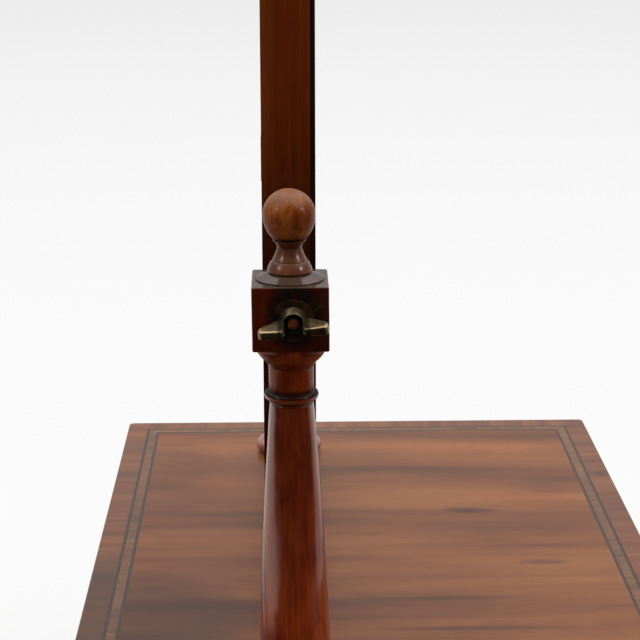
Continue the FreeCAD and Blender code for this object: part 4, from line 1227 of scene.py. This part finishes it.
        # Painted shadow on the seat under the finial's bell.
        seat = (1 - smooth_step(7.4, 9.0, foot)) * on_top
        sides = 0.3 * (on_block & ~outer & ~on_top)
        return np.max([darkening, line, 0.8 * seat, sides], axis=0), 0.25 * edge * on_block * (z > 0)

    def ring_marks(self, points: np.ndarray) -> tuple[np.ndarray, np.ndarray]:
        """Find the grime on top of the ring under the neck, and the pale line round the ring's widest edge,
        which is rubbed and a painted highlight.

        Args:
            points: Points of the post in millimetres.

        Returns:
            Grime and wear at each point, from 0 to 1.
        """
        rise = (points[:, 2] - self.neck_bottom + self.astragal) / self.astragal
        darkening = 0.9 * smooth_step(0.54, 0.66, rise) * (1 - smooth_step(1.0, 1.6, rise))
        # The pale line just under the ring's crown is rubbed and a painted highlight.
        return darkening, 0.55 * (1 - smooth_step(0.06, 0.14, np.abs(rise - 0.47)))

    def soften(self, mesh: bpy.types.Mesh, points: np.ndarray) -> None:
        """Make the surface slightly uneven, as hand turning and wear leave it.

        Args:
            mesh: Mesh of the post in millimetres.
            points: Its points.
        """
        start = 31.0 * SIDES[self.side]
        normals = np.array([v.normal for v in mesh.vertices])
        waves = np.array([noise.noise(Vector(p) * 0.16 + Vector((start, 0, 0))) for p in points])
        moved = points + normals * (0.06 * waves)[:, None]
        mesh.vertices.foreach_set("co", moved.astype(np.float32).ravel())
        mesh.update()


@dataclass
class Finial:
    """Ball finial on a bell-shaped foot and a neck, sizes in millimetres above the post's seat."""

    side: str
    seat_radius: float = 7.3
    bell_radius: float = 8.0
    bell_edge: float = 0.65
    bell: float = 4.1
    bell_top_radius: float = 6.5
    bell_bulge: float = 0.2
    groove: float = 0.4
    neck_radius: float = 4.35
    neck_rise: float = 4.5
    collar_radius: float = 5.87
    collar_rise: float = 2.35
    collar: float = 0.4
    quirk: float = 0.3
    quirk_depth: float = 0.5
    ball_radius: float = 9.3
    ball_rise: float = 8.3
    segments: int = 96
    ease: float = 0.2

    @property
    def ball_bottom(self) -> float:
        """Height of the line between the neck and the ball."""
        return self.bell + self.groove + self.neck_rise + self.collar_rise + self.collar + self.quirk

    def section(self) -> list[Point]:
        """Draw the half section.

        Returns:
            Points from the seat to the top of the ball.
        """
        neck_z = self.bell + self.groove + self.neck_rise
        collar_z = neck_z + self.collar_rise
        ball_z = self.ball_bottom + self.ball_rise
        section = Section([(self.seat_radius * 0.3, 0.0)])
        section.line(self.seat_radius, 0.0)
        edge = self.seat_radius + 0.72 * (self.bell_radius - self.seat_radius)
        section.arc((edge, 0.3 * self.bell_edge), (self.bell_radius, self.bell_edge), 6)
        middle = (self.bell_radius + self.bell_top_radius) / 2 + self.bell_bulge
        section.arc((middle, (self.bell_edge + self.bell) / 2), (self.bell_top_radius, self.bell), 10)
        groove_radius = self.bell_top_radius - self.groove
        section.line(groove_radius, self.bell)
        section.line(groove_radius, self.bell + self.groove)
        flare = self.neck_radius + 0.38 * (groove_radius - self.neck_radius)
        section.arc((flare, neck_z - self.neck_rise / 2), (self.neck_radius, neck_z), 10)
        lip = self.neck_radius + 0.33 * (self.collar_radius - self.neck_radius)
        section.arc((lip, neck_z + self.collar_rise / 2), (self.collar_radius, collar_z), 10)
        section.line(self.collar_radius, collar_z + self.collar, 2)
        quirk_radius = self.collar_radius - self.quirk_depth
        section.line(quirk_radius, collar_z + self.collar)
        section.line(quirk_radius, self.ball_bottom)
        section.line(self.collar_radius, self.ball_bottom)
        spread = self.ball_radius - self.collar_radius
        sweep = (spread ** 2 + self.ball_rise ** 2) / (2 * spread)
        half_turn = math.asin(self.ball_rise / sweep) / 2
        belly = self.ball_radius - sweep + sweep * math.cos(half_turn)
        section.arc((belly, ball_z - sweep * math.sin(half_turn)), (self.ball_radius, ball_z), 24)
        size = self.ball_radius
        crown, tip = ((size * math.sin(a), ball_z + size * math.cos(a)) for a in (0.8, 0.03))
        section.arc(crown, tip, 28)
        return section.eased(self.ease)

    def build(self) -> bpy.types.Object:
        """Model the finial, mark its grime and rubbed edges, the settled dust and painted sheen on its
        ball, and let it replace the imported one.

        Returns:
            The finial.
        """
        name = f"finial_{self.side}"
        section = self.section()
        rings = [Ring(radius, height) for radius, height in section]
        mesh = turned_mesh(f"turned_{name}", rings, even_turns(self.segments))
        hollow, sharp = section_marks(section, 0.8)
        height = np.array(section)[:, 1]
        recess = 0.5 * np.exp(-(((height - self.ball_bottom) / 1.0) ** 2))
        foot = 0.27 * (height < self.ball_bottom)
        dull = 0.65 * (height > self.ball_bottom - self.quirk)
        # Pale top of the ball: settled dust and a painted sheen.
        crown = 0.4 * smooth_step(0.3, 1.0, (height - self.ball_bottom - self.ball_rise) / self.ball_radius)
        crown += 0.1 * (height < self.bell + self.groove + self.neck_rise)
        darkening = np.max([0.8 * hollow, recess, foot], axis=0)
        for key, values in ((DIRT_AND_SHADE, darkening), (WEAR_AND_HIGHLIGHT, 0.4 * sharp), (DUST_AND_SHEEN, crown), (DULL, dull)):
            spread = np.concatenate([[0.0], np.repeat(values, self.segments), [0.0]])
            set_number(mesh, key, spread)
        side = SIDES[self.side]
        place = Vector((side * PLACES.post_x, PLACES.post_y, PLACES.seat_z))
        mesh.transform(leaning(LEANS[self.side]) @ Matrix.Translation(place) @ Matrix.Scale(MM, 4))
        piece = add_piece(f"turned_{name}", mesh, BALL_WOOD.build(name, 4.1 * side))
        piece.modifiers.new("even shading", "WEIGHTED_NORMAL")
        stand_in_for(piece, name, "base")
        return piece


@dataclass
class CastWingNut:
    """Cast wing nut along +X with its base at 0, sizes in millimetres."""

    side: str
    turn: float
    base_radius: float = 5.4
    mouth_radius: float = 3.9
    cup_radius: float = 3.0
    cup: float = 1.2
    bore_radius: float = 2.3
    length: float = 5.0
    span: float = 24.2
    gap: float = 6.2
    reach: float = 16.4
    tip: float = 5.4
    root: float = 1.75
    root_rise: float = 1.6
    thickness: float = 3.1
    corner: float = 2.6
    plump: float = 0.9
    voxel: float = 0.16

    def hub(self) -> tuple[list[Triple], list[tuple[int, ...]]]:
        """Model the hub as a tube with a shallow cup at its mouth.

        Returns:
            Points and faces.
        """
        loop = [(self.bore_radius, 0.0), (self.base_radius, 0.0), (self.mouth_radius, self.length)]
        loop += [(self.cup_radius, self.length), (self.cup_radius, self.length - self.cup)]
        loop.append((self.bore_radius, self.length - self.cup))
        count, size = 72, len(loop)
        points, faces = [], []
        for i in range(count):
            angle = math.tau * i / count
            points += [(h, r * math.cos(angle), r * math.sin(angle)) for r, h in loop]
            for k in range(size):
                a, b = i * size + k, i * size + (k + 1) % size
                c, d = ((i + 1) % count) * size + (k + 1) % size, ((i + 1) % count) * size + k
                faces.append((a, b, c, d))
        return points, faces

    def wing(self, direction: int) -> tuple[list[Triple], list[tuple[int, ...]]]:
        """Model one wing as a flat ear with round corners, straight in front and sloping behind.

        Args:
            direction: Side of the nut, -1 or 1.

        Returns:
            Points and faces.
        """
        inner, outer = self.gap / 2, self.span / 2
        outline = Section([(self.root_rise, inner), (self.reach, inner), (self.reach, outer)])
        outline.points += [(self.reach - self.tip, outer), (self.root_rise, inner + self.root)]
        loop = np.array(outline.eased(self.corner))
        middle = (loop.min(axis=0) + loop.max(axis=0)) / 2
        size = (loop.max(axis=0) - loop.min(axis=0)) / 2
        turns = [math.radians(angle) for angle in (-90, -60, -30, 0, 30, 60, 90)]
        flat, count = self.thickness / 2 - self.plump, len(loop)
        points = []
        for angle in turns:
            inner = middle + (loop - middle) * (size - self.plump * (1 - math.cos(angle))) / size
            level = flat * np.sign(angle) + self.plump * math.sin(angle)
            swell = 0.85 + 0.3 * (inner[:, 1] - self.gap / 2) / (self.span - self.gap) * 2
            points += [(x, direction * y, level * s) for (x, y), s in zip(inner, swell)]
        last = count * (len(turns) - 1)
        faces = [tuple(reversed(range(count))), tuple(range(last, last + count))]
        for low in range(0, last, count):
            pairs = [(low + k, low + (k + 1) % count) for k in range(count)]
            faces += [(a, b, b + count, a + count) for a, b in pairs]
        if direction < 0:
            faces = [tuple(reversed(face)) for face in faces]
        return points, faces

    def cast(self) -> bpy.types.Mesh:
        """Run the hub and the wings together into one smooth casting.

        Returns:
            The mesh in millimetres.
        """
        points: list[Triple] = []
        faces: list[tuple[int, ...]] = []
        for new_points, new_faces in (self.hub(), self.wing(-1), self.wing(1)):
            start = len(points)
            points += new_points
            faces += [tuple(start + i for i in face) for face in new_faces]
        rough = bpy.data.meshes.new("nut_pattern")
        rough.from_pydata(points, [], faces)
        pattern = bpy.data.objects.new("nut_pattern", rough)
        bpy.context.scene.collection.objects.link(pattern)
        remesh = pattern.modifiers.new("one casting", "REMESH")
        remesh.mode = "VOXEL"
        remesh.voxel_size = self.voxel
        smooth = pattern.modifiers.new("soft corners", "SMOOTH")
        smooth.factor = 0.5
        smooth.iterations = 14
        mesh = baked(pattern)
        bpy.data.objects.remove(pattern)
        bpy.data.meshes.remove(rough)
        mesh.polygons.foreach_set("use_smooth", [True] * len(mesh.polygons))
        return mesh

    def build(self) -> bpy.types.Object:
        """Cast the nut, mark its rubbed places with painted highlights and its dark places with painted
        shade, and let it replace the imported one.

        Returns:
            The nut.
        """
        name = f"wing_nut_{self.side}"
        mesh = self.cast()
        points = mesh_points(mesh)
        out = np.abs(points[:, 1])
        reach = np.hypot(points[:, 1], points[:, 2])
        normals = np.array([v.normal for v in mesh.vertices])
        # Painted highlights on the edges of the wings that face out and up or down; rubbed wear grows
        # towards the wing tips.
        edge = smooth_step(0.35, 0.75, normals[:, 0]) * smooth_step(0.2, 0.6, np.abs(normals[:, 2]))
        wear_and_highlight = 0.12 * smooth_step(3.5, 7.0, out) + 0.3 * edge
        # Painted shade in the hub's mouth and cup, under the wings near the hub, at the base, on the hub
        # below its lit top and on the fronts of the wings.
        mouth = (1 - smooth_step(3.9, 4.6, reach)) * smooth_step(0.3, 0.7, normals[:, 0])
        inside = 1 - smooth_step(self.cup_radius, self.cup_radius + 0.5, reach)
        under = smooth_step(0.0, 0.5, -normals[:, 2]) * (1 - smooth_step(5.0, 8.0, reach))
        low = 1 - smooth_step(0.2, 1.6, points[:, 0])
        crown = smooth_step(0.3, 0.75, normals[:, 2]) * (1 - smooth_step(1.0, 3.2, out))
        hub = 0.75 * (1 - smooth_step(5.0, 6.2, reach)) * (1 - crown)
        front = 0.45 * smooth_step(0.55, 0.9, normals[:, 0]) * (1 - smooth_step(0.15, 0.45, normals[:, 2]))
        dirt_and_shade = np.max([mouth, inside, under, 0.9 * low, hub, front], axis=0)
        set_number(mesh, WEAR_AND_HIGHLIGHT, wear_and_highlight)
        set_number(mesh, DIRT_AND_SHADE, np.clip(dirt_and_shade, 0, 1))
        side = SIDES[self.side]
        turn = Matrix.Rotation(math.radians(self.turn), 4, "X")
        facing = Matrix.Rotation(math.pi if side < 0 else 0.0, 4, "Z")
        place = Matrix.Translation((side * PLACES.nut_x, PLACES.pivot_y, PLACES.pivot_z))
        mesh.transform(place @ turn @ facing @ Matrix.Scale(MM, 4))
        piece = add_piece(f"cast_{name}", mesh, Brass(rubbed_and_highlit=True).build(name))
        stand_in_for(piece, name, name)
        return piece


class NodeKit(Graph):
    """Geometry node tree with named inputs."""

    def __init__(self, name: str) -> None:
        """Start a tree with a geometry output.

        Args:
            name: Name of the tree.
        """
        super().__init__(bpy.data.node_groups.new(name, "GeometryNodeTree"))
        self.tree.interface.new_socket("Geometry", in_out="OUTPUT", socket_type="NodeSocketGeometry")
        self.ids: dict[str, str] = {}
        self.entry: bpy.types.Node | None = None

    def inputs(self, **kinds: str) -> dict[str, bpy.types.NodeSocket]:
        """Add named inputs.

        Args:
            **kinds: Blender's socket type of each input.

        Returns:
            The sockets that the tree reads them from.
        """
        for name, kind in kinds.items():
            socket = self.tree.interface.new_socket(name, in_out="INPUT", socket_type=kind)
            self.ids[name] = socket.identifier
        self.entry = self.tree.nodes.new("NodeGroupInput")
        return {name: self.entry.outputs[name] for name in kinds}

    def close(self, geometry: bpy.types.NodeSocket, finish: bpy.types.NodeSocket) -> None:
        """End the tree in real geometry with a material.

        Args:
            geometry: What the tree has made.
            finish: Material for it.
        """
        real = self.add("GeometryNodeRealizeInstances", {0: geometry})
        dressed = self.add("GeometryNodeSetMaterial", {"Geometry": real.outputs[0], "Material": finish})
        self.add("NodeGroupOutput", {0: dressed.outputs[0]})

    def run(self, base: bpy.types.Mesh, values: dict[str, Any]) -> bpy.types.Mesh:
        """Run the tree once.

        Args:
            base: Mesh that it starts from.
            values: Value of each named input.

        Returns:
            The result as a plain mesh.
        """
        carrier = bpy.data.objects.new("carrier", base)
        bpy.context.scene.collection.objects.link(carrier)
        modifier = carrier.modifiers.new("tree", "NODES")
        modifier.node_group = self.tree
        for name, value in values.items():
            modifier[self.ids[name]] = value
        mesh = baked(carrier)
        bpy.data.objects.remove(carrier)
        return mesh


@dataclass
class PivotStud:
    """Threaded stud of a pivot, with the square head that is let into the stile, in millimetres."""

    side: str
    radius: float = 2.25
    core: float = 1.9
    pitch: float = 0.9
    threaded: float = 12.0
    head: float = 9.0
    head_depth: float = 2.5
    edge: float = 0.3

    def thread(self) -> NodeKit:
        """Set out the thread: a ridge wound round a core along +Z, joined to the plain shank.

        Returns:
            The node tree.
        """
        kit = NodeKit("screw_thread")
        numbers = dict.fromkeys(("Core", "Ridge", "Start", "Length", "Turns"), "NodeSocketFloat")
        read = kit.inputs(Shank="NodeSocketGeometry", **numbers, Finish="NodeSocketMaterial")
        winding = {"Rotations": read["Turns"], "Start Radius": read["Core"], "End Radius": read["Core"]}
        spiral = kit.add("GeometryNodeCurveSpiral", {"Resolution": 40, "Height": read["Length"], **winding})
        end = kit.add("ShaderNodeCombineXYZ", {2: read["Length"]})
        axis = kit.add("GeometryNodeCurvePrimitiveLine", {"End": end.outputs[0]})
        both = kit.add("GeometryNodeJoinGeometry")
        for path, radius, corners in ((spiral, read["Ridge"], 4), (axis, read["Core"], 40)):
            outline = kit.add("GeometryNodeCurvePrimitiveCircle", {"Resolution": corners, "Radius": radius})
            sweep = {"Curve": path.outputs[0], "Profile Curve": outline.outputs[0], "Fill Caps": True}
            kit.tree.links.new(kit.add("GeometryNodeCurveToMesh", sweep).outputs[0], both.inputs[0])
        start = kit.add("ShaderNodeCombineXYZ", {2: read["Start"]})
        shift = {"Geometry": both.outputs[0], "Translation": start.outputs[0]}
        moved = kit.add("GeometryNodeTransform", shift)
        whole = kit.add("GeometryNodeJoinGeometry", {0: moved.outputs[0]})
        kit.tree.links.new(read["Shank"], whole.inputs[0])
        kit.close(whole.outputs[0], read["Finish"])
        return kit

    def build(self) -> bpy.types.Object:
        """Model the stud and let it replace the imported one.

        Returns:
            The stud.
        """
        name = f"pivot_stud_{self.side}"
        low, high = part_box(name)
        length = (high.x - low.x) / MM
        plain = length - self.threaded
        half, edge = self.head / 2, self.edge
        rings = [Ring(half - edge, 0.0, edge), Ring(half, edge, edge), Ring(half, self.head_depth, edge)]
        rings += [Ring(self.radius, self.head_depth), Ring(self.radius, plain)]
        rings.append(Ring(self.core, plain + edge))
        shank = turned_mesh("shank", rings, even_turns(48, 0.5))
        material = RUSTED_BRASS.build(name)
        run = self.threaded - (self.radius - self.core)
        values = {"Core": self.core, "Ridge": self.radius - self.core, "Start": plain, "Length": run}
        mesh = self.thread().run(shank, {**values, "Turns": run / self.pitch, "Finish": material})
        side = SIDES[self.side]
        place = Matrix.Translation((low.x if side > 0 else high.x, PLACES.pivot_y, PLACES.pivot_z))
        facing = Matrix.Rotation(side * math.pi / 2, 4, "Y")
        mesh.transform(place @ facing @ Matrix.Scale(MM, 4))
        piece = add_piece(f"threaded_{name}", mesh, material)
        stand_in_for(piece, name, "mirror")
        return piece


@dataclass
class SlottedScrews:
    """Countersunk screws of the mirror's back, each turned its own way, in millimetres."""

    head_radius: float = 2.5
    head: float = 1.6
    shank_radius: float = 1.2
    slot: float = 0.6
    slot_depth: float = 0.7
    inset: float = 3.2
    spread_x: float = 0.5
    spread_z: float = 0.8
    seed: int = 7

    def places(self) -> list[Triple]:
        """Set the screws out: three on each upright side, two at top and foot.

        Returns:
            Middle of each head.
        """
        low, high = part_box("backboard")
        middle = (low + high) / 2
        reach_x = (high.x - low.x) / 2 - self.inset * MM
        reach_z = (high.z - low.z) / 2 - self.inset * MM
        spots = [(s * reach_x, row * reach_z * self.spread_z) for s in (-1, 1) for row in (-1, 0, 1)]
        spots += [(s * reach_x * self.spread_x, row * reach_z) for s in (-1, 1) for row in (-1, 1)]
        return [(middle.x + x, high.y, middle.z + z) for x, z in spots]

    def one(self) -> bpy.types.Object:
        """Model one screw below the origin with its slot along X.

        Returns:
            The screw, on no collection.
        """
        low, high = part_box("backboard_screws")
        depth = (high.y - low.y) / MM
        shape = Section([(0.2, -depth)])
        shape.line(self.shank_radius, 2 * self.shank_radius - depth)
        shape.line(self.shank_radius, -self.head)
        shape.line(self.head_radius, -0.15)
        shape.line(self.head_radius - 0.15, 0.0)
        mesh = turned_mesh("screw", [Ring(r, h) for r, h in shape.points], even_turns(40))
        screw = bpy.data.objects.new("screw", mesh)
        bpy.context.scene.collection.objects.link(screw)
        half = (self.head_radius + 0.5, self.slot / 2, self.slot_depth)
        ends = (-1, 1)
        corners = [(x * half[0], y * half[1], z * half[2]) for x in ends for y in ends for z in ends]
        faces = [(0, 1, 3, 2), (4, 6, 7, 5), (0, 4, 5, 1), (2, 3, 7, 6), (0, 2, 6, 4), (1, 5, 7, 3)]
        saw = bpy.data.meshes.new("saw")
        saw.from_pydata(corners, [], faces)
        cut_away(screw, saw)
        bpy.context.scene.collection.objects.unlink(screw)
        screw.data.polygons.foreach_set("use_smooth", [False] * len(screw.data.polygons))
        screw.data.transform(Matrix.Rotation(-math.pi / 2, 4, "X") @ Matrix.Scale(MM, 4))
        return screw

    def build(self) -> bpy.types.Object:
        """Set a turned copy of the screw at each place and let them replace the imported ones.

        Returns:
            The screws as one piece.
        """
        kit = NodeKit("slotted_screws")
        read = kit.inputs(
            Places="NodeSocketGeometry",
            Screw="NodeSocketObject",
            Turn="NodeSocketFloat",
            Seed="NodeSocketInt",
            Finish="NodeSocketMaterial",
        )
        screw = kit.add("GeometryNodeObjectInfo", {"Object": read["Screw"]})
        limits = {3: read["Turn"], "Seed": read["Seed"]}
        turn = kit.add("FunctionNodeRandomValue", limits, data_type="FLOAT")
        angle = kit.add("ShaderNodeCombineXYZ", {1: turn.outputs[1]})
        rotation = kit.add("FunctionNodeEulerToRotation", {0: angle.outputs[0]})
        spread = {"Points": read["Places"], "Instance": screw.outputs["Geometry"]}
        spread["Rotation"] = rotation.outputs[0]
        copies = kit.add("GeometryNodeInstanceOnPoints", spread)
        kit.close(copies.outputs[0], read["Finish"])
        spots = bpy.data.meshes.new("screw_places")
        spots.from_pydata(self.places(), [], [])
        material = Steel().build("backboard_screws")
        one = self.one()
        mesh = kit.run(spots, {"Screw": one, "Turn": math.pi, "Seed": self.seed, "Finish": material})
        bpy.data.objects.remove(one)
        piece = add_piece("slotted_screws", mesh, material)
        stand_in_for(piece, "backboard_screws", "mirror")
        return piece


@dataclass
class Studio:
    """White room with a pale floor, two soft lamps and the camera at the end of the box."""

    camera_place: Triple = (-0.7669, 0.04825, 0.4526)
    pitch: float = 15.476
    yaw: float = -1.155
    roll: float = 0.123
    lens: float = 100.59
    sensor: float = 36.0
    target: Triple = (-0.1, 0.04, 0.2)
    lamps: tuple[tuple[Triple, float], ...] = (((-0.41, 0.736, 0.533), 2.1), ((-0.352, -0.784, 0.511), 2.9))
    lamp_size: Point = (0.26, 0.14)
    lamp_distance: float = 1.3
    floor_size: float = 30.0
    floor_white: float = 0.95
    floor_glow: float = 0.86
    floor_bounce: float = 0.2
    floor_drop: float = 0.2
    floor_dark: Colour = (0.012, 0.012, 0.012)
    bright_ahead: Point = (-0.2, 0.7)
    fade: Point = (0.3, 4.5)
    side_tint: Colour = (1.35, 0.94, 0.68)
    near_white: float = 0.88
    far_white: float = 0.75
    white: float = 0.9
    overhead: float = 2.3
    beside: float = 0.3
    dim: float = 0.006
    dim_within: float = 50.0
    bright_beyond: float = 68.0

    def floor(self) -> bpy.types.Object:
        """Lay the pale floor, which looks nearly white but keeps a faint shadow.

        Returns:
            The floor.
        """
        half = self.floor_size / 2
        mesh = bpy.data.meshes.new("floor")
        corners = [(-half, -half), (half, -half), (half, half), (-half, half)]
        mesh.from_pydata([(x, y, -self.floor_drop * MM) for x, y in corners], [], [(0, 1, 2, 3)])
        sheet = Sheet("pale_floor")
        mottle = sheet.noise(sheet.position, (3, 3, 3), detail=3)
        grey = sheet.ramp(mottle, [(0.3, self.floor_white - 0.01), (0.7, self.floor_white)])
        rays = sheet.add("ShaderNodeLightPath").outputs
        glossy, direct = rays["Is Glossy Ray"], rays["Is Camera Ray"]
        x, y, _ = sheet.split(sheet.position)
        forward = sheet.math("MULTIPLY", x, 0.8)
        slant = sheet.rise(sheet.math("MULTIPLY_ADD", y, -0.6, forward), (-0.85, -0.5))
        left = sheet.math("MULTIPLY", slant, sheet.rise(y, (0.43, 0.54)))
        slant = sheet.rise(sheet.math("MULTIPLY_ADD", y, 0.6, forward), (-0.6, -0.4), (0.0, 0.35))
        right = sheet.math("MULTIPLY", slant, sheet.rise(y, (-0.45, -0.3), (1.0, 0.0)))
        sides = sheet.math("MAXIMUM", left, right)
        around = sheet.add("ShaderNodeMix", {0: glossy, 2: self.floor_bounce, 3: sides}).outputs[0]
        ahead = sheet.rise(x, self.bright_ahead)
        lit = sheet.math("MAXIMUM", ahead, around)
        lit = sheet.math("MAXIMUM", lit, direct)
        matt = sheet.add("ShaderNodeBsdfDiffuse", {"Color": sheet.blend(self.floor_dark, grey, lit)})
        length = sheet.add("ShaderNodeVectorMath", {0: sheet.position}, operation="LENGTH").outputs["Value"]
        strength = sheet.rise(length, self.fade, (self.near_white, self.far_white))
        # The floor's glow, seen in reflections, is warm-tinted at its sides: painted light that warms the
        # sheen on the posts.
        warm_reflection = sheet.math("MULTIPLY", glossy, sheet.math("SUBTRACT", 1.0, ahead))
        tint = sheet.blend((1, 1, 1), self.side_tint, warm_reflection)
        glow = sheet.add("ShaderNodeEmission", {"Color": tint, "Strength": strength})
        seen = sheet.math("MAXIMUM", direct, glossy)
        share = sheet.math("MULTIPLY", sheet.math("MULTIPLY", seen, lit), self.floor_glow)
        mixed = sheet.add("ShaderNodeMixShader", {0: share, 1: matt.outputs[0], 2: glow.outputs[0]})
        sheet.add("ShaderNodeOutputMaterial", {"Surface": mixed.outputs[0]})
        piece = add_piece("floor", mesh, sheet.material)
        return piece

    def room(self) -> None:
        """Set the room's light: strongest overhead, white ahead and dim behind the camera."""
        world = bpy.data.worlds.new("room")
        world.use_nodes = True
        bpy.context.scene.world = world
        world.node_tree.nodes.clear()
        graph = Graph(world.node_tree)
        x, _, z = graph.split(graph.add("ShaderNodeTexCoord").outputs["Generated"])
        level = graph.rise(x, (0.3, 0.8), (self.beside, self.white))
        level = graph.rise(z, (0.3, 0.8), (level, self.overhead))
        ends = [-math.cos(math.radians(angle)) for angle in (self.dim_within, self.bright_beyond)]
        level = graph.rise(x, (ends[0], ends[1]), (self.dim, level))
        seen = graph.add("ShaderNodeLightPath").outputs["Is Camera Ray"]
        strength = graph.add("ShaderNodeMix", {0: seen, 2: level, 3: self.white}).outputs[0]
        sky = graph.add("ShaderNodeBackground", {"Color": (1.0, 1.0, 1.0, 1.0), "Strength": strength})
        graph.add("ShaderNodeOutputWorld", {"Surface": sky.outputs[0]})

    def light(self) -> None:
        """Hang the soft lamps."""
        for i, (direction, power) in enumerate(self.lamps):
            data = bpy.data.lights.new(f"soft_lamp_{i}", "AREA")
            data.shape = "RECTANGLE"
            data.size, data.size_y = self.lamp_size
            data.energy = power
            lamp = bpy.data.objects.new(f"soft_lamp_{i}", data)
            toward = Vector(direction).normalized()
            lamp.location = Vector(self.target) + toward * self.lamp_distance
            lamp.rotation_euler = toward.to_track_quat("Z", "Y").to_euler()
            lamp.visible_camera = False
            bpy.context.scene.collection.objects.link(lamp)

    def camera(self) -> bpy.types.Object:
        """Set the camera up at the end of the box.

        Returns:
            The camera.
        """
        data = bpy.data.cameras.new("camera")
        data.lens = self.lens
        data.sensor_width = self.sensor
        camera = bpy.data.objects.new("camera", data)
        pitch, yaw, roll = (math.radians(a) for a in (self.pitch, self.yaw, self.roll))
        ahead = Vector((math.cos(pitch) * math.cos(yaw), math.cos(pitch) * math.sin(yaw), -math.sin(pitch)))
        right = ahead.cross(Vector((0, 0, 1))).normalized()
        down = ahead.cross(right)
        side = right * math.cos(roll) + down * math.sin(roll)
        below = down * math.cos(roll) - right * math.sin(roll)
        axes = Matrix((side, -below, -ahead)).transposed().to_4x4()
        camera.matrix_world = Matrix.Translation(self.camera_place) @ axes
        bpy.context.scene.collection.objects.link(camera)
        bpy.context.scene.camera = camera
        return camera

    def build(self) -> None:
        """Build the whole studio."""
        self.camera()
        self.floor()
        self.room()
        self.light()
        bpy.context.scene.view_settings.view_transform = "Standard"
        LOG.info("studio set up")


def main() -> None:
    """Build every piece of the scene in order."""
    logging.basicConfig(level=logging.INFO, format="%(name)s: %(message)s")
    Studio().build()
    for side in SIDES:
        TurnedPost(side).build()
        Finial(side).build()
        CastWingNut(side, NUT_TURNS[side]).build()
        PivotStud(side).build()
    SlottedScrews().build()
    CadDressing().run()


if __name__ == "__main__":
    main()
